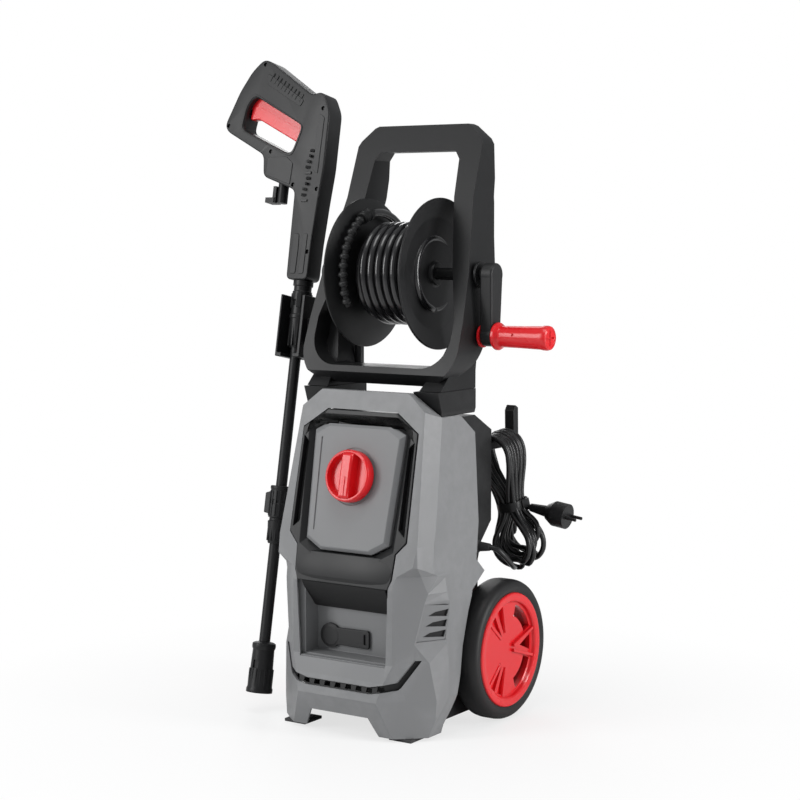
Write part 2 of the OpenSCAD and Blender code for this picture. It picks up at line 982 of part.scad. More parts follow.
module lance_mid_coupling() {
    color(BLACK)
        on_lance(0)
            difference() {
                union() {
                    translate([0, 0, 279]) cylinder(h = 49, r = 15.8);
                    translate([0, 0, 274]) cylinder(h = 6, r = 13.5);
                    translate([0, 0, 240]) cylinder(h = 35, r1 = 11.8, r2 = 15);
                    translate([-25, -5, 286]) cube([12, 10, 32]);
                }
                translate([0, 0, 200]) cylinder(h = 200, r = tube_d / 2);
            }
}

module lance_tube_lower() {
    color(BLACK)
        on_lance(74)
            difference() {
                cylinder(h = 244, r = tube_d / 2);
                translate([0, 0, -1]) cylinder(h = 300, r = tube_d / 2 - 2);
            }
}

module spray_nozzle() {
    color(BLACK)
        on_lance(0)
            difference() {
                rotate_extrude()
                    polygon([[0, 30], [17, 30], [17, 15], [20, 15], [20, 22], [18.5, 24],
                        [16.5, 84], [18, 85], [18, 89], [9.6, 92], [0, 92]]);
                translate([0, 0, 74]) cylinder(h = 30, r = tube_d / 2 + 0.05);
                translate([0, 0, 20]) cylinder(h = 60, r = 2);
            }
}

// C-shaped cradle, open to the front, that carries the lance's coupling
module lance_holder() {
    color(BLACK)
        union() {
            on_lance(524)
                difference() {
                    translate([-22, -24, 0]) cube([46, 48, 95]);
                    translate([-18.5, -60, 6]) cube([37, 80, 100]);
                    translate([-10.5, -60, -5]) cube([21, 71, 30]);
                }
            box([-157, 0, 552], [-134.2, 24, 590]);
        }
}

// ---- power cord ----

module cord_hook() {
    color(BLACK)
        union() {
            box([hook_x - 8, 100.2, hook_z - 6], [hook_x + 8, 178, hook_z + 6]);
            translate([hook_x + 2, 0, 0])
                along_x(16)
                    polygon([[176, 368], [188, 378], [186, 454], [178, 458], [172, 450],
                        [174, 382]]);
        }
}

module strain_relief() {
    color(BLACK)
        translate(relief_pos)
            rotate([0, 90, 8])
                difference() {
                    rotate_extrude()
                        polygon([[0, -8], [10, -8], [10, 3], [7.5, 5], [5.4, 22], [0, 22]]);
                    translate([0, 0, 8]) cylinder(h = 30, r = cord_d / 2);
                }
}

// Smooth curve through the points p, n steps to each stretch
function spline(p, n) = [for (i = [0:len(p) - 2], k = [0:n - 1])
    let (a = p[max(i - 1, 0)], b = p[i], c = p[i + 1], d = p[min(i + 2, len(p) - 1)],
        t = k / n)
    0.5 * ((2 * b) + (c - a) * t + (2 * a - 5 * b + 4 * c - d) * t * t
        + (3 * b - a - 3 * c + d) * t * t * t)];

// Tube of radius r and m sides along the points p
module swept_tube(p, r, m) {
    n = len(p);
    ring = function (i)
        let (d = unit(p[min(i + 1, n - 1)] - p[max(i - 1, 0)]),
            side = unit(cross(d, [0, 0, 1])), up = cross(side, d))
        [for (k = [0:m - 1]) p[i] + r * (cos(360 * k / m) * side + sin(360 * k / m) * up)];
    points = [for (i = [0:n - 1]) each ring(i)];
    faces = concat([[for (k = [0:m - 1]) k]],
        [for (i = [0:n - 2], k = [0:m - 1])
            let (a = i * m + k, b = i * m + (k + 1) % m) [a, a + m, b + m, b]],
        [[for (k = [m - 1:-1:0]) (n - 1) * m + k]]);
    polyhedron(points, faces);
}

module cord_lead() {
    color(BLACK)
        swept_tube(concat(spline(LEAD, 3), [LEAD[len(LEAD) - 1]]), cord_d / 2, 8);
}

// Places its children at the top of the hung loops: +X across, -Z down the loops
module on_hank() {
    translate(hank_top)
        rotate([hank_tilt_x, hank_tilt_y, 0])
            children();
}

module cord_hank() {
    waist = 20;
    color("#161718")
        on_hank()
            rotate([90, 0, 0])
                linear_extrude(hank_t, center = true)
                    difference() {
                        polygon(concat(arc(0, -36, 36, 0, 180, 16),
                            [[-30, -80], [-waist, -112], [-waist, -136], [-30, -160]],
                            arc(0, -hank_h + 36, 36, 180, 360, 16),
                            [[30, -160], [waist, -136], [waist, -112], [30, -80]]));
                        polygon(concat(arc(0, -36, 24, 0, 180, 12), [[-17, -66], [0, -82],
                            [17, -66]]));
                    }
}

module cord_tie() {
    color(BLACK)
        on_hank()
            translate([0, 0, -124])
                difference() {
                    cube([46, hank_t + 6, 16], center = true);
                    cube([41, hank_t + 1, 20], center = true);
                }
}

module mains_plug() {
    color(BLACK)
        translate([146, 160, 306])
            rotate([0, 98, 0])
                union() {
                    cylinder(h = 30, r1 = 6, r2 = 9);
                    translate([0, 0, 30]) cylinder(h = 12, r1 = 12, r2 = 19);
                    translate([0, 0, 42]) cylinder(h = 22, r = 19);
                    for (y = [-9.5, 9.5])
                        translate([0, y, 64]) cylinder(h = 19, r = 2.4);
                }
}

front_shell();
rear_cover();
base_chassis();
front_bezel();
control_panel();
accessory_tray();
lower_grille();
side_louvres();
foot_pads();
handle_frame();
frame_collars();
cord_hook();
lance_holder();
axle();
axle_clips();
tyre_left();
tyre_right();
wheel_hub_left();
wheel_hub_right();
detergent_cap();
detergent_tank();
motor_housing();
motor_rotor();
cooling_fan();
wobble_plate();
pump_body();
pump_pistons();
pump_head();
water_inlet();
feed_pipe();
main_switch();
selector_knob();
reel_drum();
reel_flange_left();
reel_flange_right();
hose_winding();
hose_end();
reel_swivel();
reel_bushes();
crank_arm();
crank_grip();
crank_pin();
gun_shell_front();
gun_shell_back();
gun_trigger();
trigger_lock();
gun_valve();
gun_inlet();
gun_screws();
lance_coupling();
lance_tube_upper();
lance_mid_coupling();
lance_tube_lower();
spray_nozzle();
housing_screws();
strain_relief();
cord_lead();
cord_hank();
cord_tie();
mains_plug();
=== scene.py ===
import bmesh
import bpy
import json
import math
import random
from mathutils import Matrix, Vector


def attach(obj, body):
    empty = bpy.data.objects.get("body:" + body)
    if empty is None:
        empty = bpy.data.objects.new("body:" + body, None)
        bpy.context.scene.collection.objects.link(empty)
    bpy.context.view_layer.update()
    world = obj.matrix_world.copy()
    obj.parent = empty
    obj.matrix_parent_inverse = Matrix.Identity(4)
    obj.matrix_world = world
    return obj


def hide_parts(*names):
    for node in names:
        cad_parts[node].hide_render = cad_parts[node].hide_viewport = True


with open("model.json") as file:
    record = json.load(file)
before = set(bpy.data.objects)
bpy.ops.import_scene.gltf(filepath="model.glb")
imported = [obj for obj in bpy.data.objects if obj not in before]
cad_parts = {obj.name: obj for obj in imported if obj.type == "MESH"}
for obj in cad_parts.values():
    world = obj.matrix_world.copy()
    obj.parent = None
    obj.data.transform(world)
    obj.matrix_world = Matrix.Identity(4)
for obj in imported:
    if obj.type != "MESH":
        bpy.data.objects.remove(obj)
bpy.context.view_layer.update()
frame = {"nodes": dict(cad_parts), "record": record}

MM = 0.001
FRONT_Y, SIDE_X, UP_Z = 0, 1, 2      # which way an outline is pushed: along Y, X or Z
FAR = 200                           # far enough in mm to pass right through the machine

# ---- camera, floor and light ----

CAMERA_AT = (1.536, -2.281, 0.729)
CAMERA_AZIMUTH = 33.7
CAMERA_DROP = 5.3
CAMERA_LENS = 84.15


def add_camera():
    """The camera's place, aim and lens."""
    a, e = math.radians(CAMERA_AZIMUTH), math.radians(CAMERA_DROP)
    back = Vector((math.sin(a) * math.cos(e), -math.cos(a) * math.cos(e), math.sin(e)))
    right = Vector((math.cos(a), math.sin(a), 0))
    up = back.cross(right)
    camera = bpy.data.objects.new("camera", bpy.data.cameras.new("camera"))
    camera.matrix_world = Matrix((
        (right.x, up.x, back.x, CAMERA_AT[0]), (right.y, up.y, back.y, CAMERA_AT[1]),
        (right.z, up.z, back.z, CAMERA_AT[2]), (0, 0, 0, 1)))
    camera.data.lens = CAMERA_LENS
    camera.data.sensor_width = 36
    camera.data.clip_end = 60
    bpy.context.scene.collection.objects.link(camera)
    bpy.context.scene.camera = camera


def area_light(name, at, look, size, power):
    """A rectangular light at one place that faces another."""
    data = bpy.data.lights.new(name, "AREA")
    data.shape = "RECTANGLE"
    data.size, data.size_y = size
    data.energy = power
    lamp = bpy.data.objects.new(name, data)
    lamp.location = at
    lamp.rotation_euler = (Vector(look) - Vector(at)).to_track_quat("-Z", "Y").to_euler()
    bpy.context.scene.collection.objects.link(lamp)


def camera_only(tree, seen, unseen):
    """Shows one shader to the camera and the other to every other ray."""
    mix = tree.nodes.new("ShaderNodeMixShader")
    rays = tree.nodes.new("ShaderNodeLightPath")
    tree.links.new(rays.outputs["Is Camera Ray"], mix.inputs[0])
    tree.links.new(unseen, mix.inputs[1])
    tree.links.new(seen, mix.inputs[2])
    return mix.outputs[0]


def pale_floor_paint():
    """A matt white floor; further out it fades into the backdrop for the camera."""
    paint = bpy.data.materials.new("pale_floor")
    paint.use_nodes = True
    tree = paint.node_tree
    shader = tree.nodes["Principled BSDF"]
    shader.inputs["Base Color"].default_value = (0.8, 0.8, 0.8, 1)
    shader.inputs["Roughness"].default_value = 0.7
    glow = tree.nodes.new("ShaderNodeEmission")
    mix = tree.nodes.new("ShaderNodeMixShader")
    at = tree.nodes.new("ShaderNodeTexCoord").outputs["Object"]
    far_off = tree.nodes.new("ShaderNodeVectorMath")
    far_off.operation = "LENGTH"
    tree.links.new(at, far_off.inputs[0])
    tree.links.new(remap(tree, far_off.outputs["Value"], 0.2, 0.75, 0.72, 1), mix.inputs[0])
    tree.links.new(shader.outputs[0], mix.inputs[1])
    tree.links.new(glow.outputs[0], mix.inputs[2])
    tree.links.new(camera_only(tree, mix.outputs[0], shader.outputs[0]),
                   tree.nodes["Material Output"].inputs["Surface"])
    return paint


# Each light's name, place, the point it faces, its size and its power
LIGHTS = [("key", (-1.7, -2.3, 1.5), (0, 0, 0.45), (1.0, 1.8), 46),
          ("right_strip", (2.7, 0.5, 1.0), (0, 0, 0.5), (0.6, 2.0), 54),
          ("back_strip", (-1.6, 1.8, 1.5), (0, 0, 0.6), (0.8, 1.8), 16),
          ("overhead", (0.1, -0.6, 2.7), (0, 0, 0.4), (1.4, 1.0), 18)]
FLOOR_HALF = 9                      # half the floor's width in metres


def add_studio():
    """White surroundings, soft lights and the floor."""
    world = bpy.data.worlds.new("studio")
    world.use_nodes = True
    tree = world.node_tree
    soft = tree.nodes["Background"]
    soft.inputs[0].default_value = (0.94, 0.95, 0.97, 1)
    soft.inputs[1].default_value = 0.42
    white = tree.nodes.new("ShaderNodeBackground")
    white.inputs[0].default_value = (1, 1, 1, 1)
    tree.links.new(camera_only(tree, white.outputs[0], soft.outputs[0]),
                   tree.nodes["World Output"].inputs["Surface"])
    bpy.context.scene.world = world
    for light in LIGHTS:
        area_light(*light)
    bpy.context.scene.view_settings.view_transform = "Standard"
    mesh = bpy.data.meshes.new("floor")
    w = FLOOR_HALF
    mesh.from_pydata([(-w, -w, 0), (w, -w, 0), (w, w, 0), (-w, w, 0)], [], [(0, 1, 2, 3)])
    floor = bpy.data.objects.new("floor", mesh)
    bpy.context.scene.collection.objects.link(floor)
    mesh.materials.append(pale_floor_paint())


# ---- shader groups ----

def new_group(name, ins, outs):
    """An empty shader group with number sockets."""
    tree = bpy.data.node_groups.new(name, "ShaderNodeTree")
    for label, value, low, high in ins:
        s = tree.interface.new_socket(label, in_out="INPUT", socket_type="NodeSocketFloat")
        s.default_value, s.min_value, s.max_value = value, low, high
    for label in outs:
        tree.interface.new_socket(label, in_out="OUTPUT", socket_type="NodeSocketFloat")
    return tree, tree.nodes.new("NodeGroupInput"), tree.nodes.new("NodeGroupOutput")


def noise(tree, vector, scale, detail=3.0, rough=0.55):
    """Random values, slow or fine, over a vector."""
    node = tree.nodes.new("ShaderNodeTexNoise")
    tree.links.new(vector, node.inputs["Vector"])
    if isinstance(scale, (int, float)):
        node.inputs["Scale"].default_value = scale
    else:
        tree.links.new(scale, node.inputs["Scale"])
    node.inputs["Detail"].default_value = detail
    node.inputs["Roughness"].default_value = rough
    return node.outputs["Fac"]


def maths(tree, kind, a, b=None, c=None, clamp=False):
    """One step of arithmetic in a tree."""
    node = tree.nodes.new("ShaderNodeMath")
    node.operation = kind
    node.use_clamp = clamp
    for socket, value in zip(node.inputs, (a, b, c)):
        if value is None:
            continue
        if isinstance(value, (int, float)):
            socket.default_value = value
        else:
            tree.links.new(value, socket)
    return node.outputs[0]


def remap(tree, value, lo, hi, out_lo, out_hi):
    """Brings a value from one range to another."""
    node = tree.nodes.new("ShaderNodeMapRange")
    tree.links.new(value, node.inputs["Value"])
    for label, number in (("From Min", lo), ("From Max", hi), ("To Min", out_lo),
                          ("To Max", out_hi)):
        node.inputs[label].default_value = number
    return node.outputs["Result"]


def moulded_grain_group():
    """Fine spark-eroded grain of moulded plastic: Height for a bump, Cloud for slow changes."""
    tree, start, end = new_group(
        "moulded_grain", [("Grain Scale", 1400, 10, 9000), ("Cloud Scale", 9, 0.1, 200)],
        ["Height", "Cloud"])
    at = tree.nodes.new("ShaderNodeTexCoord").outputs["Object"]
    fine = noise(tree, at, start.outputs["Grain Scale"], 2.0, 0.6)
    coarse = noise(tree, at, start.outputs["Cloud Scale"], 4.0, 0.5)
    tree.links.new(fine, end.inputs["Height"])
    tree.links.new(remap(tree, coarse, 0.3, 0.7, 0, 1), end.inputs["Cloud"])
    return tree


def edge_highlight_group():
    """Mask of the convex edges, for a painted highlight that lightens them and a smoother finish
    there.
    """
    tree, start, end = new_group(
        "painted_edge_highlight", [("Reach", 0.52, 0.4, 0.8), ("Breakup Scale", 60, 1, 900)], ["Mask"])
    point = tree.nodes.new("ShaderNodeNewGeometry").outputs["Pointiness"]
    at = tree.nodes.new("ShaderNodeTexCoord").outputs["Object"]
    broken = noise(tree, at, start.outputs["Breakup Scale"], 4.0, 0.6)
    raised = maths(tree, "SUBTRACT", point, start.outputs["Reach"])
    mask = maths(tree, "MULTIPLY", raised, 14, clamp=True)
    tree.links.new(maths(tree, "MULTIPLY", mask, remap(tree, broken, 0.3, 0.65, 0.15, 1)),
                   end.inputs["Mask"])
    return tree


def fine_dust_group():
    """Mask of the thin dust and wipe marks that settle on upward faces."""
    tree, start, end = new_group("fine_dust", [("Amount", 0.25, 0, 1)], ["Mask"])
    normal = tree.nodes.new("ShaderNodeNewGeometry").outputs["Normal"]
    split = tree.nodes.new("ShaderNodeSeparateXYZ")
    tree.links.new(normal, split.inputs[0])
    at = tree.nodes.new("ShaderNodeTexCoord").outputs["Object"]
    patchy = remap(tree, noise(tree, at, 22, 5.0, 0.65), 0.38, 0.72, 0, 1)
    upward = remap(tree, split.outputs["Z"], 0.1, 1, 0.15, 1)
    tree.links.new(
        maths(tree, "MULTIPLY", maths(tree, "MULTIPLY", patchy, upward),
              start.outputs["Amount"]), end.inputs["Mask"])
    return tree


GRAIN = moulded_grain_group()
EDGE_HIGHLIGHT = edge_highlight_group()
DUST = fine_dust_group()


def place(tree, group, **values):
    """Puts a group in a tree, with its inputs set."""
    node = tree.nodes.new("ShaderNodeGroup")
    node.node_tree = group
    for label, value in values.items():
        node.inputs[label.replace("_", " ")].default_value = value
    return node


def blend_colours(tree, mask, a, b):
    """Mixes two colours by a mask."""
    node = tree.nodes.new("ShaderNodeMix")
    node.data_type = "RGBA"
    tree.links.new(mask, node.inputs["Factor"])
    for socket, value in ((node.inputs[6], a), (node.inputs[7], b)):
        if isinstance(value, tuple):
            socket.default_value = (*value, 1)
        else:
            tree.links.new(value, socket)
    return node.outputs[2]


def shade(rgb, k):
    """The colour made darker or lighter by k."""
    return tuple(min(1.0, c * k) for c in rgb)


def moulding(name, rgb, rough, grain=1400, depth=0.00004, cloud=9, vary=0.10, edge_light=0.25,
             dust=0.12, metallic=0.0, coat=0.0, specular=0.5):
    """A moulded plastic, rubber or metal with grain, slow mottling, a painted highlight on its edges,
    and dust.
    """
    mat = bpy.data.materials.new(name)
    mat.use_nodes = True
    tree = mat.node_tree
    shader = tree.nodes["Principled BSDF"]
    grains = place(tree, GRAIN, Grain_Scale=grain, Cloud_Scale=cloud)
    mottled = blend_colours(tree, grains.outputs["Cloud"], shade(rgb, 1 - vary),
                            shade(rgb, 1 + vary))
    # Painted highlight: the convex edges are mixed towards a lighter colour and made a little
    # smoother.
    edge_lit = place(tree, EDGE_HIGHLIGHT, Reach=0.53, Breakup_Scale=60)
    edge_highlight_mask = maths(tree, "MULTIPLY", edge_lit.outputs["Mask"], edge_light)
    lighter = tuple(min(1.0, c * 1.5 + 0.03) for c in rgb)
    with_edge_highlight = blend_colours(tree, edge_highlight_mask, mottled, lighter)
    dusty = place(tree, DUST, Amount=dust)
    dust_rgb = tuple(0.6 * c + 0.4 * 0.45 for c in rgb)
    tree.links.new(blend_colours(tree, dusty.outputs["Mask"], with_edge_highlight, dust_rgb),
                   shader.inputs["Base Color"])
    base = remap(tree, grains.outputs["Cloud"], 0, 1, rough - 0.05, rough + 0.05)
    polished = maths(tree, "SUBTRACT", base, maths(tree, "MULTIPLY", edge_highlight_mask, 0.2))
    tree.links.new(
        maths(tree, "ADD", polished, maths(tree, "MULTIPLY", dusty.outputs["Mask"], 0.3),
              clamp=True), shader.inputs["Roughness"])
    shader.inputs["Metallic"].default_value = metallic
    shader.inputs["Specular IOR Level"].default_value = specular
    shader.inputs["Coat Weight"].default_value = coat
    shader.inputs["Coat Roughness"].default_value = 0.12
    bump = tree.nodes.new("ShaderNodeBump")
    bump.inputs["Strength"].default_value = 1.0
    bump.inputs["Distance"].default_value = depth
    tree.links.new(grains.outputs["Height"], bump.inputs["Height"])
    tree.links.new(bump.outputs["Normal"], shader.inputs["Normal"])
    return mat


GREY_RGB = (0.185, 0.188, 0.192)
SATIN_BLACK_RGB = (0.0075, 0.0077, 0.0082)
DARK_RGB = (0.0105, 0.0108, 0.0114)
RED_RGB = (0.66, 0.009, 0.014)

MATERIALS = {
    "grey_plastic": moulding("grey_shell_plastic", GREY_RGB, 0.50, vary=0.015, edge_light=0.18,
                             dust=0.015),
    "black_plastic": moulding("satin_black_plastic", SATIN_BLACK_RGB, 0.42, grain=1100,
                              vary=0.15, edge_light=0.25, dust=0.015, specular=0.32),
    "dark_plastic": moulding("dark_grey_plastic", DARK_RGB, 0.44, grain=1100, vary=0.1,
                             edge_light=0.3, dust=0.015, specular=0.36),
    "red_plastic": moulding("glossy_red_plastic", RED_RGB, 0.26, grain=2200, depth=0.00001,
                            vary=0.05, edge_light=0.1, dust=0.01, coat=0.2, specular=0.35),
    "tyre": moulding("tyre_rubber", (0.0085, 0.0085, 0.009), 0.52, grain=800, depth=0.00008,
                     vary=0.2, edge_light=0.2, dust=0.04, specular=0.35),
    "hose": moulding("glossy_hose_jacket", (0.008, 0.008, 0.009), 0.24, grain=600,
                     depth=0.00002, vary=0.2, edge_light=0.1, dust=0.04, coat=0.3),
    "soft_rubber": moulding("soft_rubber", (0.022, 0.022, 0.023), 0.60, grain=900,
                            depth=0.00006, vary=0.15, edge_light=0.2, dust=0.04),
    "steel": moulding("plain_steel", (0.55, 0.56, 0.57), 0.32, grain=300, depth=0.00002,
                      vary=0.1, edge_light=0.3, dust=0.1, metallic=1.0),
    "aluminium": moulding("cast_aluminium", (0.55, 0.56, 0.57), 0.45, grain=500,
                          depth=0.0001, vary=0.1, edge_light=0.3, dust=0.1, metallic=1.0),
    "brass": moulding("turned_brass", (0.55, 0.40, 0.16), 0.3, grain=300, depth=0.00002,
                      vary=0.12, edge_light=0.3, dust=0.1, metallic=1.0),
    "clear_plastic": moulding("milky_tank_plastic", (0.6, 0.62, 0.63), 0.4, vary=0.03,
                              edge_light=0.1, dust=0.1),
    # Near-black used as painted shade in hollows: the niche's roof, the slot backs and the louvre
    # backing; the hose sleeve's core also uses it.
    "shade_black": moulding("painted_shade_black", (0.004, 0.004, 0.0045), 0.7, vary=0.1,
                           edge_light=0.0, dust=0.02),
    "cord_jacket": moulding("cord_jacket", (0.008, 0.008, 0.0085), 0.34, grain=700,
                            depth=0.00003, vary=0.2, edge_light=0.1, dust=0.02, specular=0.45),
}
SLOT_OF = {s["node"]: s["material_slot"] for s in frame["record"]["subparts"]}
BODY_OF = {n: b for b, ns in frame["record"]["behaviour"]["bodies"].items() for n in ns}

# ---- mesh tools ----


def solid(name, mesh, slot="black_plastic"):
    """A new piece of one material; tools that only cut keep the usual one."""
    obj = bpy.data.objects.new(name, mesh)
    bpy.context.scene.collection.objects.link(obj)
    mesh.materials.clear()
    mesh.materials.append(MATERIALS[slot])
    return obj


def applied(obj, *mods):
    """Adds the modifiers (kind, settings), bakes them into the mesh and clears them."""
    for kind, values in mods:
        mod = obj.modifiers.new(kind.lower(), kind)
        for key, value in values.items():
            setattr(mod, key, value)
    graph = bpy.context.evaluated_depsgraph_get()
    graph.update()
    mesh = bpy.data.meshes.new_from_object(obj.evaluated_get(graph))
    obj.modifiers.clear()
    old = obj.data
    obj.data = mesh
    bpy.data.meshes.remove(old)
    return obj


def smooth(obj, angle=34):
    """Shades a piece smooth, apart from edges sharper than the angle."""
    mesh = obj.data
    bm = bmesh.new()
    bm.from_mesh(mesh)
    limit = math.radians(angle)
    for f in bm.faces:
        f.smooth = True
    for e in bm.edges:
        e.smooth = len(e.link_faces) == 2 and e.calc_face_angle(0) < limit
    bm.to_mesh(mesh)
    bm.free()
    return obj


def rounded(obj, width, segments=3, angle=28):
    """Rounds a piece's crisp edges, as a mould's do."""
    if width > 0:
        applied(obj, ("BEVEL", dict(width=width * MM, segments=segments,
                                    limit_method="ANGLE", angle_limit=math.radians(angle),
                                    use_clamp_overlap=True, miter_outer="MITER_ARC",
                                    harden_normals=False)))
    smooth(obj)
    return applied(obj, ("WEIGHTED_NORMAL", dict(keep_sharp=True, weight=80)))


def mesh_of(verts, faces, name="part"):
    """A mesh of points in mm, with doubles merged and normals outward."""
    mesh = bpy.data.meshes.new(name)
    mesh.from_pydata([Vector(v) * MM for v in verts], [], faces)
    bm = bmesh.new()
    bm.from_mesh(mesh)
    bmesh.ops.remove_doubles(bm, verts=bm.verts, dist=1e-6)
    bmesh.ops.recalc_face_normals(bm, faces=bm.faces)
    bm.to_mesh(mesh)
    bm.free()
    return mesh


def closed_faces(n, rings=2):
    """Faces of a solid whose verts are rings of n points, with both ends closed."""
    faces = [list(range(n)), [(rings - 1) * n + j for j in range(n - 1, -1, -1)]]
    for k in range(0, (rings - 1) * n, n):
        faces += [[k + j, k + (j + 1) % n, k + n + (j + 1) % n, k + n + j] for j in range(n)]
    return faces


def prism(outline, lo, hi, way=FRONT_Y, name="part"):
    """A solid of the outline between lo and hi: (x, z) along Y, (y, z) along X or (x, y) up Z."""
    if way == FRONT_Y:
        verts = [(p[0], d, p[1]) for d in (lo, hi) for p in outline]
    elif way == SIDE_X:
        verts = [(d, p[0], p[1]) for d in (lo, hi) for p in outline]
    else:
        verts = [(p[0], p[1], d) for d in (lo, hi) for p in outline]
    return mesh_of(verts, closed_faces(len(outline)), name)


def cut(obj, *tools, kind="DIFFERENCE"):
    """Cuts the tools out of a piece, or joins or keeps their common part."""
    for tool in tools:
        applied(obj, ("BOOLEAN", dict(operation=kind, object=tool, solver="EXACT")))
        bpy.data.objects.remove(tool)
    return obj


def tidied(obj, flat=0.5):
    """Merges a piece's doubles and joins its flat neighbours into single faces."""
    bm = bmesh.new()
    bm.from_mesh(obj.data)
    bmesh.ops.remove_doubles(bm, verts=bm.verts, dist=2e-6)
    bmesh.ops.dissolve_limit(bm, angle_limit=math.radians(flat), verts=bm.verts,
                             edges=bm.edges)
    bm.to_mesh(obj.data)
    bm.free()
    return obj


def moved(obj, matrix):
    """Moves a piece's mesh; a mirrored one keeps its normals outward."""
    obj.data.transform(matrix)
    if matrix.determinant() < 0:
        obj.data.flip_normals()
    return obj


def shift(x=0.0, y=0.0, z=0.0):
    """A move in mm."""
    return Matrix.Translation(Vector((x, y, z)) * MM)


def turn(degrees, axis):
    """A turn about one axis."""
    return Matrix.Rotation(math.radians(degrees), 4, axis)


MIRROR_X = Matrix.Diagonal((-1, 1, 1, 1))


def copy_of(obj, name, matrix=Matrix.Identity(4)):
    """A separate copy of a piece, moved by the matrix."""
    twin = bpy.data.objects.new(name, obj.data.copy())
    bpy.context.scene.collection.objects.link(twin)
    return moved(twin, matrix)


def lathe(profile, segments=64, matrix=Matrix.Identity(4), name="part", start=0.0,
          sweep=360.0):
    """Turns an outline of (radius, height) about Z; a closed outline makes a solid ring."""
    full = sweep >= 359.9
    rings = segments if full else segments + 1
    verts, faces = [], []
    n = len(profile)
    for i in range(rings):
        a = math.radians(start + sweep * i / segments)
        verts += [(r * math.cos(a), r * math.sin(a), z) for r, z in profile]
    for i in range(segments):
        a, b = i * n, ((i + 1) % rings) * n
        faces += [[a + j, a + (j + 1) % n, b + (j + 1) % n, b + j] for j in range(n)]
    if not full:
        faces += [list(range(n)), list(range(rings * n - 1, (rings - 1) * n - 1, -1))]
    mesh = mesh_of(verts, faces, name)
    bm = bmesh.new()
    bm.from_mesh(mesh)
    loose = [f for f in bm.faces if f.calc_area() < 1e-12]
    bmesh.ops.delete(bm, geom=loose, context="FACES")
    bmesh.ops.recalc_face_normals(bm, faces=bm.faces)
    bm.to_mesh(mesh)
    bm.free()
    mesh.transform(matrix)
    return mesh


def joined(name, parts):
    """Makes one piece of several; each keeps its own material."""
    mesh = bpy.data.meshes.new(name)
    bm = bmesh.new()
    mats = []
    for part in parts:
        before = len(bm.faces)
        bm.from_mesh(part.data)
        bm.faces.ensure_lookup_table()
        own = list(part.data.materials)
        mats += [m for m in own if m not in mats]
        for f in bm.faces[before:]:
            f.material_index = mats.index(own[f.material_index])
    bm.to_mesh(mesh)
    bm.free()
    for part in parts:
        bpy.data.objects.remove(part)
    obj = bpy.data.objects.new(name, mesh)
    bpy.context.scene.collection.objects.link(obj)
    for mat in mats:
        mesh.materials.append(mat)
    return obj


def stands_for(obj, *nodes):
    """The piece rides on its nodes' body and replaces them."""
    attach(obj, BODY_OF[nodes[0]])
    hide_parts(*nodes)
    return obj


def from_node(node, width=0.8, segments=3, slot=None):
    """A refined copy of a CAD node: merged, flat faces joined, edges rounded."""
    source = bpy.data.objects[node]
    obj = bpy.data.objects.new(node + "_moulded", source.data.copy())
    bpy.context.scene.collection.objects.link(obj)
    obj.data.materials.clear()
    obj.data.materials.append(MATERIALS[slot or SLOT_OF[node]])
    for poly in obj.data.polygons:
        poly.material_index = 0
    tidied(obj)
    return rounded(obj, width, segments)


add_camera()
add_studio()

# ---- cords: the power cord on its hook and the hose on its reel ----


def curve_through(points, step):
    """A smooth open curve through the points, with a point about every step mm."""
    pts = [Vector(p) for p in points]
    ends = [2 * pts[0] - pts[1]] + pts + [2 * pts[-1] - pts[-2]]
    out = []
    for i in range(1, len(ends) - 2):
        a, b, c, d = ends[i - 1:i + 3]
        t0, t1 = 0.0, max((b - a).length, 1e-6) ** 0.5
        t2 = t1 + max((c - b).length, 1e-6) ** 0.5
        t3 = t2 + max((d - c).length, 1e-6) ** 0.5
        n = max(1, int((c - b).length / step))
        for k in range(n):
            t = t1 + (t2 - t1) * k / n
            p1 = a.lerp(b, (t - t0) / (t1 - t0))
            p2 = b.lerp(c, (t - t1) / (t2 - t1))
            p3 = c.lerp(d, (t - t2) / (t3 - t2))
            q1 = p1.lerp(p2, (t - t0) / (t2 - t0))
            q2 = p2.lerp(p3, (t - t1) / (t3 - t1))
            out.append(q1.lerp(q2, (t - t1) / (t2 - t1)))
    return out + [pts[-1]]


def tube(name, path, radius, sides, slot):
    """A round tube of one skin along the path, in mm, with closed ends."""
    n = len(path)
    tangents = [(path[min(i + 1, n - 1)] - path[max(i - 1, 0)]).normalized()
                for i in range(n)]
    side = tangents[0].orthogonal().normalized()
    verts = []
    for p, t in zip(path, tangents):
        side = (side - t * side.dot(t)).normalized()
        up = t.cross(side)
        verts += [p + radius * (math.cos(math.tau * k / sides) * side
                                + math.sin(math.tau * k / sides) * up)
                  for k in range(sides)]
    faces = [[i * sides + k, i * sides + (k + 1) % sides,
              (i + 1) * sides + (k + 1) % sides, (i + 1) * sides + k]
             for i in range(n - 1) for k in range(sides)]
    faces += [list(range(sides))[::-1], [(n - 1) * sides + k for k in range(sides)]]
    return smooth(solid(name, mesh_of(verts, faces, name), slot), 60)


CORD_D = 8
HANK_TOP = (98, 134, 430)
HANK = shift(*HANK_TOP) @ turn(-10, "Y") @ turn(8, "X")
LEAD = [(133.5, 61, 258), (144, 64, 255), (151, 73, 245), (152, 87, 234), (149, 101, 226),
        (144, 114, 221), (138, 126, 220)]
PLUG_AT = (146, 160, 306)
CORD_LOOPS = 9
TIE_Z = -124


def in_hank(x, y, z):
    """A point given in the hung loops' own axes, in the shared frame."""
    return (HANK @ (Vector((x, y, z)) * MM)) / MM


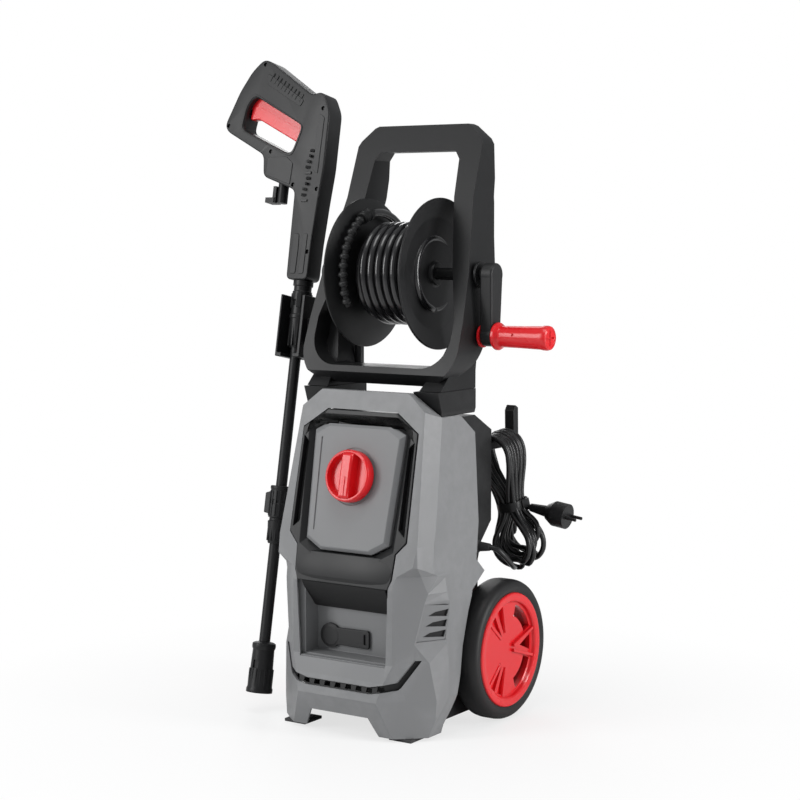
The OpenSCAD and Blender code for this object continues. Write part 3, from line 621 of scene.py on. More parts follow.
def loop_side(sign, y_end, y_mid, x_mid, wide, low, top_r, rising):
    """One side of a hung loop, from its round bottom to its round top or back down."""
    pts = []
    z_low, z_top = low + wide, -40
    for k in range(1, 6):
        f = k / 6
        ease = 0.5 + 0.5 * math.cos(math.pi * f)
        pts.append((sign * (x_mid + (wide - x_mid) * ease), y_mid + (y_end - y_mid) * ease,
                    z_low + (TIE_Z - z_low) * f))
    pts.append((sign * x_mid, y_mid, TIE_Z))
    for k in range(1, 6):
        f = k / 6
        ease = 0.5 - 0.5 * math.cos(math.pi * f)
        pts.append((sign * (x_mid + (top_r - x_mid) * ease), y_mid + (y_end - y_mid) * ease,
                    TIE_Z + (z_top - TIE_Z) * f))
    return pts if rising else pts[::-1]


def power_cord_path():
    """The lead, the hung loops pinched at the tie, and the end that reaches the plug."""
    rng = random.Random(7)
    pts = [Vector(p) for p in LEAD]
    for i in range(CORD_LOOPS):
        y_end = -27.5 + i * 55 / (CORD_LOOPS - 1)
        y_mid = (i // 2 - 2) * 8.3
        x_mid = 4.4 + 8.8 * (i % 2)
        low = -219 + rng.uniform(0, 26)
        wide = 31 - rng.uniform(0, 6)
        top_r = 26.5 + rng.uniform(-1.5, 1.5)
        y_low = y_end + rng.uniform(-2, 2)
        start = 270 if i else 235
        for a in range(start, 179, -22):
            pts.append(in_hank(wide * math.cos(math.radians(a)), y_low,
                               low + wide + wide * math.sin(math.radians(a))))
        if i == CORD_LOOPS - 1:
            break
        pts += [in_hank(*p) for p in loop_side(-1, y_end, y_mid, x_mid, wide, low, top_r,
                                               True)]
        for a in range(180, -1, -30):
            pts.append(in_hank(top_r * math.cos(math.radians(a)), y_end,
                               -40 + top_r * math.sin(math.radians(a))))
        pts += [in_hank(*p) for p in loop_side(1, y_end, y_mid, x_mid, wide, low, top_r,
                                               False)]
        for a in range(360, 271, -30):
            pts.append(in_hank(wide * math.cos(math.radians(a)), y_low,
                               low + wide + wide * math.sin(math.radians(a))))
    for p in ((-25, 27, -172), (-18, 27, -148), (-4, 27, -128), (12, 20, -123)):
        pts.append(in_hank(*p))
    pts += [Vector(PLUG_AT) + Vector((-6, -0.6, 1)), Vector(PLUG_AT)]
    return curve_through(pts, 4)


def add_power_cord():
    """The power cord and the tie round its hung loops."""
    path = power_cord_path()
    cord = tube("power_cord", path, CORD_D / 2, 12, "cord_jacket")
    stands_for(cord, "cord_lead", "cord_hank")
    band_outline = []
    for k in range(32):
        a = math.tau * k / 32
        band_outline.append((abs(math.cos(a)) ** 0.7 * math.copysign(21.5, math.cos(a)),
                             abs(math.sin(a)) ** 0.7 * math.copysign(23.5, math.sin(a))))
    outer = solid("cord_tie_band", prism(band_outline, TIE_Z - 7, TIE_Z + 7, UP_Z))
    inner = solid("band_hole", prism([(x * 0.93, y * 0.93) for x, y in band_outline],
                                     TIE_Z - 9, TIE_Z + 9, UP_Z))
    cut(outer, inner)
    tail = solid("band_tail", prism([(21, -9), (23.4, -9), (24, 2), (23.2, 12), (21.2, 12)],
                                    TIE_Z - 6, TIE_Z + 6, UP_Z))
    tie = joined("cord_tie_band", [rounded(outer, 0.6, 2), rounded(tail, 0.5, 2)])
    moved(tie, HANK)
    stands_for(tie, "cord_tie")
    return cord, path


HOSE_D = 12
REEL_Y, REEL_Z = 31, 660


LAYERS = [(52.4, 8), (61.6, 7), (70.2, 6)]    # each layer's radius and its turns
WIND_PITCH = 13.2
WIND_START_X = -46.5
PER_TURN = 24                       # points in one turn
END_X, END_R = -45, 90              # where the outer end lies, beside the left flange


def hose_path():
    """Layers of turns on the drum, then the outer end beside the left flange."""
    turned_by = 360 / PER_TURN
    pts = []
    x, way = WIND_START_X, 1
    angle = 0.0
    for k, (radius, turns) in enumerate(LAYERS):
        steps = turns * PER_TURN
        for s in range(steps):
            f = s / PER_TURN
            lift = min(1.0, s / 12)
            r = radius if k == 0 else LAYERS[k - 1][0] + (radius - LAYERS[k - 1][0]) * lift
            pts.append((x + way * WIND_PITCH * f, r, angle + turned_by * s))
        angle += turned_by * steps
        x += way * WIND_PITCH * turns
        if k < len(LAYERS) - 1:
            way = -way
            x += way * WIND_PITCH * 0.5
    top_r = LAYERS[-1][0]
    target = 360 * math.ceil(angle / 360) + 136
    for s in range(1, PER_TURN + 1):
        f = s / PER_TURN
        ease = 0.5 - 0.5 * math.cos(math.pi * f)
        pts.append((x + (END_X - x) * ease, top_r + (END_R - top_r) * ease,
                    angle + (target - angle) * f))
    for s in range(1, 13):
        pts.append((END_X, END_R, target + 70 * s / 12))
    out = []
    for x, r, a in pts:
        t = math.radians(a)
        out.append(Vector((x, REEL_Y + r * math.sin(t), REEL_Z - r * math.cos(t))))
    return curve_through(out, 6)


def add_hose():
    """The pressure hose on its drum."""
    path = hose_path()
    hose = tube("pressure_hose", path, HOSE_D / 2, 14, "hose")
    stands_for(hose, "hose_winding", "hose_end")
    return hose, path


# ---- repeated details, by Geometry Nodes ----


def repeat_group(kind):
    """Items of one kind along an arc about Z and a step, sized and turned with the arc."""
    tree = bpy.data.node_groups.new("repeated_" + kind, "GeometryNodeTree")
    face = tree.interface
    face.new_socket("Geometry", in_out="INPUT", socket_type="NodeSocketGeometry")
    for label, kind_of, value in (
            ("Count", "Int", 8), ("Radius", "Float", 0.02), ("Start", "Float", 0.0),
            ("Sweep", "Float", math.tau), ("Step", "Vector", (0, 0, 0)),
            ("Size", "Vector", (0.002, 0.002, 0.01)), ("Material", "Material", None)):
        socket = face.new_socket(label, in_out="INPUT", socket_type="NodeSocket" + kind_of)
        if value is not None:
            socket.default_value = value
    face.new_socket("Geometry", in_out="OUTPUT", socket_type="NodeSocketGeometry")
    new, wire = tree.nodes.new, tree.links.new
    start, end = new("NodeGroupInput"), new("NodeGroupOutput")
    line = new("GeometryNodeMeshLine")
    line.inputs["Offset"].default_value = (0, 0, 0)
    wire(start.outputs["Count"], line.inputs["Count"])
    index = new("GeometryNodeInputIndex").outputs[0]
    share = maths(tree, "DIVIDE", index, start.outputs["Count"])
    angle = maths(tree, "MULTIPLY_ADD", share, start.outputs["Sweep"], start.outputs["Start"])
    spot = new("ShaderNodeCombineXYZ")
    for axis, way in (("X", "COSINE"), ("Y", "SINE")):
        wire(maths(tree, "MULTIPLY", maths(tree, way, angle), start.outputs["Radius"]),
             spot.inputs[axis])
    along = new("ShaderNodeVectorMath")
    along.operation = "SCALE"
    wire(start.outputs["Step"], along.inputs[0])
    wire(index, along.inputs["Scale"])
    total = new("ShaderNodeVectorMath")
    wire(spot.outputs[0], total.inputs[0])
    wire(along.outputs[0], total.inputs[1])
    put = new("GeometryNodeSetPosition")
    wire(line.outputs[0], put.inputs["Geometry"])
    wire(total.outputs[0], put.inputs["Position"])
    item = new({"block": "GeometryNodeMeshCube", "ball": "GeometryNodeMeshUVSphere",
                "rod": "GeometryNodeMeshCylinder"}[kind])
    if kind == "ball":
        item.inputs["Radius"].default_value = 0.5
        item.inputs["Segments"].default_value = 20
        item.inputs["Rings"].default_value = 12
    if kind == "rod":
        item.inputs["Radius"].default_value = 0.5
        item.inputs["Depth"].default_value = 1
        item.inputs["Vertices"].default_value = 24
    turned = new("ShaderNodeCombineXYZ")
    wire(angle, turned.inputs["Z"])
    copies = new("GeometryNodeInstanceOnPoints")
    wire(put.outputs[0], copies.inputs["Points"])
    wire(item.outputs[0], copies.inputs["Instance"])
    wire(turned.outputs[0], copies.inputs["Rotation"])
    wire(start.outputs["Size"], copies.inputs["Scale"])
    real = new("GeometryNodeRealizeInstances")
    wire(copies.outputs[0], real.inputs[0])
    paint = new("GeometryNodeSetMaterial")
    wire(real.outputs[0], paint.inputs["Geometry"])
    wire(start.outputs["Material"], paint.inputs["Material"])
    wire(paint.outputs[0], end.inputs[0])
    return tree


REPEATS = {kind: repeat_group(kind) for kind in ("block", "ball", "rod")}


def repeated(kind, name, matrix, slot="black_plastic", count=8, radius=0.0, start=0.0,
             sweep=360.0, step=(0, 0, 0), size=(2, 2, 2), bevel=0.4):
    """A plain mesh of repeated items, from the tree of that kind; lengths in mm."""
    obj = bpy.data.objects.new(name, bpy.data.meshes.new(name))
    bpy.context.scene.collection.objects.link(obj)
    mod = obj.modifiers.new("repeat", "NODES")
    tree = REPEATS[kind]
    mod.node_group = tree
    keys = {i.name: i.identifier for i in tree.interface.items_tree if i.in_out == "INPUT"}
    values = {"Count": count, "Radius": radius * MM, "Start": math.radians(start),
              "Sweep": math.radians(sweep), "Step": [v * MM for v in step],
              "Size": [v * MM for v in size], "Material": MATERIALS[slot]}
    for label, value in values.items():
        mod[keys[label]] = value
    obj.update_tag()
    applied(obj)
    obj.data.materials.clear()
    obj.data.materials.append(MATERIALS[slot])
    if kind == "ball":
        smooth(obj, 60)
    else:
        rounded(obj, bevel, 2)
    return moved(obj, matrix)


# ---- frames: each turns a part's own axes into the shared frame ----

TO_X = Matrix(((0, 0, 1, 0), (1, 0, 0, 0), (0, 1, 0, 0), (0, 0, 0, 1)))
AXLE_Y, TYRE_R = 80, 104
GRIP_Y, GRIP_Z = 28, 572
LANCE_FOOT, LANCE_LEAN = (-178, -97.3, 14), 10.8
PIPE_X, PIPE_Y = -86, 40            # where the feed pipe comes up through shell and frame
WHEEL = shift(0, AXLE_Y, TYRE_R) @ TO_X
REEL = shift(0, REEL_Y, REEL_Z) @ TO_X
GRIP = shift(0, GRIP_Y, GRIP_Z) @ TO_X
ON_LANCE = shift(*LANCE_FOOT) @ turn(-LANCE_LEAN, "X")
FRONT_LEAN = 12.3
CHIN_Y, CHIN_Z, KNOB_Z = -129, 218, 371


def front_y(z):
    """Depth of the leaning front face at that height."""
    return CHIN_Y + (z - CHIN_Z) * math.tan(math.radians(FRONT_LEAN))


KNOB = shift(0, front_y(KNOB_Z) - 5, KNOB_Z) @ turn(90 - FRONT_LEAN, "X")


def both_sides(points):
    """The right half's outline and its mirror image, as one loop."""
    return list(points) + [(-p[0], *p[1:]) for p in reversed(points) if p[0] > 0]


def arc_points(cx, cy, r, a0, a1, n):
    """Points along an arc from a0 to a1 degrees, in n steps."""
    return [(cx + r * math.cos(math.radians(a0 + (a1 - a0) * k / n)),
             cy + r * math.sin(math.radians(a0 + (a1 - a0) * k / n))) for k in range(n + 1)]


def put(name, mesh, slot, bevel=0.8, segments=3, angle=28, matrix=None):
    """A piece of one material with its edges rounded."""
    obj = solid(name, mesh, slot)
    if matrix is not None:
        moved(obj, matrix)
    return rounded(obj, bevel, segments, angle)


# ---- body ----

# Plan of the shell's right half at rising heights: front corner, slant, ridge, side, back
SHELL_RINGS = [
    (-5, [(62, -148), (86, -129), (103, -115.4), (132, -88), (140, -62)]),
    (58, [(62, -148), (86, -129), (102.5, -115.6), (134, -85), (140, -60)]),
    (113, [(62, -148), (83, -131.4), (91.3, -124.8), (127, -93), (140, -62)]),
    (140, [(62, -148), (84, -130.6), (93.4, -123.1), (111, -108), (140, -66)]),
    (200, [(62, -148), (88, -127.4), (103.5, -115.1), (122, -97.5), (139, -58)]),
    (212, [(62, -148), (88, -127.4), (105.4, -113.6), (125, -94), (138, -58)]),
    (237.4, [(62, -148), (92, -124.3), (119, -102.6), (133, -80), (135, -52)]),
    (252, [(62, -148), (98, -136), (122, -117), (133.4, -81), (134, -50)]),
    (281, [(62, -148), (98, -136), (120.5, -115.3), (132, -79), (132, -48)]),
    (446, [(62, -148), (90, -112), (108.7, -79.3), (119.5, -47), (119.5, -20)]),
    (510, [(62, -148), (86, -98), (104.1, -65.3), (114, -36), (114, -10)])]
SHELL_SIDE = [(-126, -1), (-131, 14), (-143, 57), (-136, 86), (-128, 110), (CHIN_Y, CHIN_Z),
              (front_y(492), 492), (-58, 492), (-46, 458), (2, 458), (40, 430), (36, 300),
              (27, 245), (45, 226), (5, 204), (-9, 175), (-25, 127), (-31, 86), (-40, 55),
              (-60, 18), (-60, -1)]
SHELL_FRONT = [(124, -1), (136, 40), (140, 62), (140, 190), (131, 245), (129, 300),
               (118, 458), (76, 492)]
FRONT_OPENING = [(75, 106), (80, 222), (85, 232), (87, 268), (103, 285), (101, 437),
                 (61, 465)]
GRILLE_SLOT = [(55, 68), (93, 75), (97, 79), (119, 117), (110, 117), (91, 86), (55, 78)]
# Local frame of the louvred facet: along it, up it and out of it
LOUVRE = Matrix(((0.568, 0.042, 0.822, 0.111), (0.823, -0.029, -0.567, -0.108),
                 (0, 0.9986, -0.051, 0.140), (0, 0, 0, 1)))
LOUVRE_WINDOW = [(3, 3), (48, 4), (54, 54), (15, 57)]


def shell_core(wall, back):
    """The closed body outline, drawn in by the wall."""
    n = 12
    verts, faces = [], []
    for z, half in SHELL_RINGS:
        right = [(x - wall * (x > 62), y + wall) for x, y in half] + [(half[-1][0] - wall, 160)]
        ring = right + [(-x, y) for x, y in reversed(right)]
        verts += [(x, y, z) for x, y in ring]
    for k in range(len(SHELL_RINGS) - 1):
        for j in range(n):
            a, b = k * n + j, k * n + (j + 1) % n
            c, d = b + n, a + n
            split = (j in (1, 2) and SHELL_RINGS[k][0] >= 200) or (j in (8, 9))
            faces += [[a, b, d], [b, c, d]] if split else [[a, b, c], [a, c, d]]
    last = (len(SHELL_RINGS) - 1) * n
    faces += [list(range(n)), [last + j for j in range(n)]]
    core = solid("shell_core", mesh_of(verts, faces), "grey_plastic")
    side = [(y + (wall if y < -50 else back), z - (wall if z > 450 else 0))
            for y, z in SHELL_SIDE]
    front = [(x - wall, z - (wall if z > 450 else 0)) for x, z in SHELL_FRONT]
    cut(core, solid("side", prism(side, -FAR, FAR, SIDE_X)), kind="INTERSECT")
    return cut(core, solid("front", prism(both_sides(front), -FAR, FAR)), kind="INTERSECT")


def add_shell():
    """Faceted front shell with its openings, skirt notch and louvre windows."""
    shell = shell_core(0, 0)
    cut(shell, shell_core(3, 100))
    tools = [prism(both_sides(FRONT_OPENING), -FAR, -60),
             prism(both_sides(GRILLE_SLOT), -FAR, -60),
             prism([(-69, -5), (-50, 32), (50, 32), (69, -5)], -FAR, -40),
             prism(arc_points(PIPE_X, PIPE_Y, 12, 0, 345, 23), 400, 500, UP_Z),
             prism([(-300, -300), (300, -300), (300, 300), (-300, 300)], -9, 5, UP_Z)]
    for k, tool in enumerate(tools):
        cut(shell, solid("cut_%d" % k, tool))
    for mirror in (Matrix.Identity(4), MIRROR_X):
        cut(shell, moved(solid("window", prism(LOUVRE_WINDOW, -8, 12, UP_Z)), mirror @ LOUVRE))
    tidied(shell, 1.0)
    shell.name = "front_shell_moulded"
    rounded(shell, 1.3, 3, 12)
    return stands_for(shell, "front_shell")


def face_point(x, z, depth):
    """A point at that depth behind the leaning front face."""
    return (x, front_y(z) + depth, z)


BEZEL_RIM = [(79, 218.6), (83.8, 232.6), (85.8, 268.8), (101.8, 286), (99.8, 436.2),
             (60.4, 463.6)]
PANEL_WELL = [(45.4, 262), (73.6, 277.4), (80.6, 434.4), (56.2, 447.8)]


def bezel_surround():
    """A slab on the leaning face, with a flared well and a slot at each side."""
    rim = both_sides(BEZEL_RIM)
    well = both_sides(PANEL_WELL)
    outer = solid("front_bezel_moulded", slab_of(rim, -1.4, 15), "dark_plastic")
    sink = solid("well", taper_of(well, 6.5, -8, 17), "dark_plastic")
    cut(outer, sink)
    cut(outer, solid("well_floor", slab_of(well, 0, 40), "dark_plastic"))
    for side in (1, -1):
        slot = [(side * 87, 302), (side * 97.4, 293), (side * 96.4, 424), (side * 87.6, 416)]
        cut(outer, solid("slot", slab_of(slot, -20, 9), "dark_plastic"))
    return outer


def slab_of(outline, near, away):
    """A slab of the (x, z) outline that follows the leaning face, near to away behind it."""
    verts = [face_point(x, z, d) for d in (near, away) for x, z in outline]
    return mesh_of(verts, closed_faces(len(outline)))


def taper_of(outline, away, near, grow):
    """A slab that widens by grow mm from its far outline to its near one."""
    n = len(outline)
    zc = sum(z for _, z in outline) / n
    xs = max(abs(x) for x, _ in outline)
    zs = max(abs(z - zc) for _, z in outline)
    wide = [(x * (1 + grow / xs), zc + (z - zc) * (1 + grow / zs)) for x, z in outline]
    verts = [face_point(x, z, away) for x, z in outline]
    verts += [face_point(x, z, near) for x, z in wide]
    return mesh_of(verts, closed_faces(n))


def add_bezel_piece():
    """The dark surround, its bulging chin, and the niche's roof and slot backs in near-black as
    painted shade.
    """
    surround = rounded(bezel_surround(), 0.9, 3, 14)
    rows = ((84, 261, -1.2), (84.4, 250, -4.2), (83, 238, -5.4), (79.6, 227, -4.4),
            (72, 219, 0.5))
    across = 13
    last = across * (len(rows) - 1)
    verts, faces = [], []
    for half, z, depth in rows:
        for k in range(across):
            x = half * (k - 6) / 6
            verts.append(face_point(x, z, depth + 3.4 * (abs(x) / half) ** 4))
    for r in range(len(rows) - 1):
        for k in range(across - 1):
            a = r * across + k
            faces.append([a, a + 1, a + across + 1, a + across])
    m = len(verts)
    verts += [face_point(v[0], v[2], 10) for v in verts[:]]
    faces += [[f[3] + m, f[2] + m, f[1] + m, f[0] + m] for f in faces[:]]
    edge = list(range(across)) + [across * r + across - 1 for r in range(1, len(rows))]
    edge += [last + k for k in range(across - 2, -1, -1)]
    edge += [across * r for r in range(len(rows) - 2, 0, -1)]
    for a, b in zip(edge, edge[1:] + edge[:1]):
        faces.append([b, a, a + m, b + m])
    bulge = put("bezel_chin", mesh_of(verts, faces), "dark_plastic", 1.2, 3)
    # The niche's roof in near-black: painted shade under the bezel's lip.
    roof = put("bezel_roof", prism([(-126, 217.6), (-125, 214), (-118, 203), (-107, 190),
                                    (-96, 177), (-90.5, 174), (-89, 176), (-89, 214),
                                    (-108, 217.6)], -73.5, 73.5, SIDE_X), "shade_black", 1.0)
    backs = []
    # Near-black backs behind the side slots: painted shade inside them.
    for side in (1, -1):
        slot = [(side * 86, 300), (side * 99, 291), (side * 98, 427), (side * 86, 419)]
        backs.append(put("slot_back", slab_of(slot, 8.2, 14), "shade_black", 0.3))
    piece = joined("front_bezel_moulded", [surround, bulge, roof] + backs)
    return stands_for(piece, "front_bezel")


def add_panel():
    """Raised panel with the knob's seat and one long groove."""
    outline = both_sides([(44.8, 263.4), (72.2, 278.4), (79.2, 433.4), (55.6, 446.2)])
    middle_z = 355
    # How far each step of the raised edge is drawn in, and its depth behind the face
    steps = [(1.0, 12), (1.0, 1.5), (0.985, 0.0), (0.93, -4.2), (0.915, -5)]
    verts = []
    for k, depth in steps:
        verts += [face_point(x * k, middle_z + (z - middle_z) * (1 - (1 - k) * 0.8), depth)
                  for x, z in outline]
    panel = solid("control_panel_moulded",
                  mesh_of(verts, closed_faces(len(outline), len(steps))), "grey_plastic")
    cut(panel, solid("hole", slab_of(arc_points(0, KNOB_Z, 10, 0, 345, 23), -20, 30)))
    cut(panel, solid("seat", slab_of(arc_points(0, KNOB_Z, 40.5, 0, 356, 80), -9, -3.6)))
    groove = [(-58.2, 292), (-55.8, 292), (-60.2, 424), (-62.6, 424)]
    cut(panel, solid("groove", slab_of(groove, -9, -3.4)))
    rounded(panel, 0.9, 3, 12)
    return stands_for(panel, "control_panel")


def add_knob():
    """Red dish with a grip bar across it."""
    dish = put("knob_dish", lathe([(0, 0.6), (36.5, 0.6), (38, 2), (38, 12), (37.2, 15.2),
                                   (35.6, 16.6), (33.4, 16.4), (32.2, 14.6), (31, 6.6),
                                   (0, 6.2)], 96), "red_plastic", 0.3)
    low = [(-12, -33.4), (12, -33.4), (12, 33.4), (-12, 33.4)]
    mid = [(-10, -34), (10, -34), (10, 34), (-10, 34)]
    top = [(-8, -31), (8, -31), (8, 30), (-8, 30)]
    verts = [(x, y, 5) for x, y in low] + [(x, y, 15.5) for x, y in mid]
    verts += [(x, y, 21) for x, y in top]
    faces = [[3, 2, 1, 0], [8, 9, 10, 11]]
    for k in (0, 4):
        faces += [[k + j, k + (j + 1) % 4, k + 4 + (j + 1) % 4, k + 4 + j] for j in range(4)]
    bar = put("knob_bar", mesh_of(verts, faces), "red_plastic", 2.0, 4)
    ridge = put("knob_mark", prism([(-2.2, -30), (2.2, -30), (2.2, -2), (-2.2, -2)], 20, 22.2, UP_Z),
                "red_plastic", 0.7)
    stem = put("knob_stem", prism(arc_points(0, 0, 6, 0, 345, 23), -38, 1, UP_Z), "red_plastic",
               0.3)
    knob = joined("selector_knob_moulded", [dish, bar, ridge, stem])
    moved(knob, KNOB)
    return stands_for(knob, "selector_knob")


def add_cap():
    """Round cap on a strap with a slot."""
    disc = put("cap_disc", lathe([(0, 5.2), (13.5, 5.2), (15, 4.4), (18, 4.2), (18, 0.6),
                                  (17, 0), (11, 0), (11, -3), (0, -3)], 64,
                                 shift(-46, -88.4, 132.5) @ turn(90, "X")), "soft_rubber", 0.4)
    strap = solid("cap_strap", prism([(-40, 120), (20, 119), (22.4, 122), (22.4, 143),
                                      (20, 146), (-40, 145)], -92.8, -88.4), "soft_rubber")
    cut(strap, solid("slot", prism([(13.4, 125), (17, 125), (17, 140), (13.4, 140)], -99, -80)))
    rounded(strap, 1.2, 3)
    cap = joined("detergent_cap_moulded", [disc, strap])
    return stands_for(cap, "detergent_cap")


def add_tray():
    """The niche, with jambs and a sill that close it against the shell."""
    extras = [put("sill", prism([(-76, 104), (76, 104), (76, 107.6), (-76, 107.6)],
                                -127, -112), "grey_plastic", 0.6)]
    for side in (1, -1):
        extras.append(put("jamb", prism([(side * 73.8, 104), (side * 85, 104), (side * 85, 224),
                                         (side * 73.8, 224)], -118.6, -113),
                          "grey_plastic", 0.6))
    tray = from_node("accessory_tray", 1.0)
    return stands_for(joined("accessory_tray_moulded", [tray] + extras), "accessory_tray")


def add_louvres():
    """Recessed plate with three wedge slots, on both flanks, and a near-black plate behind them as
    painted shade.
    """
    outline = [(3.4, 3.4), (47.6, 4.4), (53.6, 53.6), (15.2, 56.6)]
    plate = solid("plate", prism(outline, -4.6, -1.6, UP_Z), "grey_plastic")
    for k in range(3):
        w = 11 + 15 * k
        wedge = [(13 + 4 * k, w - 1), (46 + 1.8 * k, w - 3), (49 + 1.8 * k, w + 7.4),
                 (24 + 4 * k, w + 4.4)]
        cut(plate, solid("wedge", prism(wedge, -20, 20, UP_Z)))
    rounded(plate, 0.7, 2)
    # Near-black plate behind the slots: painted shade seen through them.
    dark = put("dark", prism(outline, -8, -5, UP_Z), "shade_black", 0.3)
    right = moved(joined("side_louvres_moulded", [plate, dark]), LOUVRE)
    left = copy_of(right, "left_louvres", MIRROR_X)
    piece = joined("side_louvres_moulded", [right, left])
    return stands_for(piece, "side_louvres")


def add_grille():
    """Shallow V of ribs in the slot above the skirt, set back behind the shell."""
    grille = shell_core(3.4, 100)
    cut(grille, shell_core(6.5, 110))
    cut(grille, solid("slot", prism(both_sides(GRILLE_SLOT), -FAR, -60)), kind="INTERSECT")
    for k in range(9):
        x = -76 + 18.4 * k
        lift = 7.0 * max(0.0, (abs(x) - 55) / 38)
        rib = [(x - 5.4, 69.6 + lift), (x + 5.4, 69.6 + lift), (x + 4.2, 76 + lift),
               (x - 4.2, 76 + lift)]
        cut(grille, solid("gap", prism(rib, -FAR, -60)))
    grille.data.materials.clear()
    grille.data.materials.append(MATERIALS["black_plastic"])
    grille.name = "lower_grille_moulded"
    rounded(grille, 0.5, 2)
    return stands_for(grille, "lower_grille")


FRAME_OUTER = arc_points(80, 556, 56, -90, -4, 12) + [
    (135, 592), (129, 665), (112, 773), (110.4, 850), (106, 858), (86, 877), (79, 880)]
FRAME_INNER = arc_points(75, 571, 45, -90, -4, 12) + [
    (120, 596), (100, 668), (79, 772), (75, 828), (66, 840)]
FRAME_SIDE = [(-46.5, 517), (-33, 500), (-14, 502), (22, 534), (46, 572), (60, 604), (79, 660),
              (90, 715), (103, 765), (108, 800), (107, 858), (101, 880), (84.8, 880)]


def add_frame():
    """Leaning loop round the reel, with a deep bowl and two legs down to the collars."""
    frame_piece = solid("handle_frame_moulded", prism(both_sides(FRAME_OUTER), -FAR, FAR))
    cut(frame_piece, solid("hole", prism(both_sides(FRAME_INNER), -210, 210)))
    cut(frame_piece, solid("side", prism(FRAME_SIDE, -FAR, FAR, SIDE_X)), kind="INTERSECT")
    for side in (1, -1):
        leg = [(side * 81, 494.5), (side * 117.6, 494.5), (side * 118, 575), (side * 126, 606),
               (side * 112, 606), (side * 92, 540)]
        strut = solid("strut", prism(leg, -80, 80))
        cut(strut, solid("strut_side", prism(
            [(-50, 494.5), (44.6, 494.5), (44.6, 520), (50, 560), (58, 600), (22, 606),
             (2, 560), (-10, 534), (-30, 514)], -FAR, FAR, SIDE_X)), kind="INTERSECT")
        cut(frame_piece, strut, kind="UNION")
    cut(frame_piece, solid("pivot", lathe([(0, -200), (12.1, -200), (12.1, 200), (0, 200)],
                                          48, REEL)))
    cut(frame_piece, solid("pipe", prism(arc_points(PIPE_X, PIPE_Y, 8.2, 0, 345, 23), 480, 640, UP_Z)))
    tidied(frame_piece, 1.0)
    rounded(frame_piece, 4.5, 4, 24)
    return stands_for(frame_piece, "handle_frame")


# ---- wheels ----

TYRE_PROFILE = [(85.4, 124), (88, 120.6), (93, 118.6), (98, 118.4), (101, 120.4), (103, 124),
                (104, 130), (104, 147), (103.3, 152), (101.4, 156.4), (98, 159.6),
                (94, 160.8), (90, 160.4), (87.4, 158.8), (85.4, 158.4)]
HUB_PROFILE = [(0, 153.2), (20, 153.2), (69, 153.4), (70.6, 154.6), (72, 158.4), (73.6, 159.8),
               (81, 161), (84, 160.2), (85, 158.4), (85, 124), (77, 124), (77, 146),
               (14, 146), (14, 116), (6.05, 116), (6.05, 149.6), (0, 149.6)]
SPOKES = (0, 120, 240)


def polar(r, a):
    """The point at radius r and angle a in degrees."""
    return (r * math.cos(math.radians(a)), r * math.sin(math.radians(a)))


def wheel_tool(points, lo, hi):
    """A cutting tool in the right wheel's own axes."""
    return moved(solid("tool", prism(points, lo, hi, UP_Z)), WHEEL)


def add_wheels():
    """Tyres, and hubs with arc windows, recesses and ribs."""
    tyre = put("tyre_right_moulded", lathe(TYRE_PROFILE, 128, WHEEL), "tyre", 0)
    hub = solid("wheel_hub_right_moulded", lathe(HUB_PROFILE, 128, WHEEL), "red_plastic")
    for a0, a1 in ((21, 70), (-70, -21)):
        ring = arc_points(0, 0, 67.6, a0, a1, 16) + arc_points(0, 0, 50, a1, a0, 14)
        cut(hub, wheel_tool(ring, 140, 170))
    cut(hub, wheel_tool([polar(36, 0), polar(66, -10.5), polar(66, 10.5)], 140, 170))
    for a in SPOKES[1:]:
        for lean in (-1, 1):
            tri = [polar(26, a + 7 * lean), polar(68, a + 3.4 * lean), polar(68, a + 15 * lean)]
            cut(hub, wheel_tool(tri, 148.6, 170))
    rounded(hub, 0.8, 2, 26)
    ribs = []
    for a in SPOKES:
        for lean in (-1, 1):
            x0, y0 = polar(13 if a == 0 else 27, a + 16 * lean)
            x1, y1 = polar(72, a + (17 if a == 0 else 18) * lean)
            nx, ny = y1 - y0, -(x1 - x0)
            k = 2.4 / math.hypot(nx, ny)
            rib = [(x0 + nx * k, y0 + ny * k), (x1 + nx * k, y1 + ny * k),
                   (x1 - nx * k, y1 - ny * k), (x0 - nx * k, y0 - ny * k)]
            top = 158 if a == 0 else 155
            ribs.append(put("rib", prism(rib, 150, top, UP_Z), "red_plastic", 0.9, 3,
                            matrix=WHEEL))
    hub = joined("wheel_hub_right_moulded", [hub] + ribs)
    stands_for(copy_of(tyre, "tyre_left_moulded", MIRROR_X), "tyre_left")
    stands_for(copy_of(hub, "wheel_hub_left_moulded", MIRROR_X), "wheel_hub_left")
    stands_for(tyre, "tyre_right")
    stands_for(hub, "wheel_hub_right")


# ---- reel and crank ----

FLANGE_PROFILE = [(9.05, 54.2), (46, 54.2), (80, 54.8), (101, 60.6), (109, 63.4), (111, 64.2),
                  (111, 66), (109.8, 67), (108, 66.4), (100, 63.2), (84, 58.2), (79, 57.2),
                  (40, 57), (20, 57), (17, 59), (16, 61.6), (9.05, 62)]


def add_reel():
    """Dished flanges with a rolled rim."""
    right = put("reel_flange_right_moulded", lathe(FLANGE_PROFILE, 128, REEL),
                "black_plastic", 0.3)
    stands_for(copy_of(right, "reel_flange_left_moulded", MIRROR_X), "reel_flange_left")
    stands_for(right, "reel_flange_right")


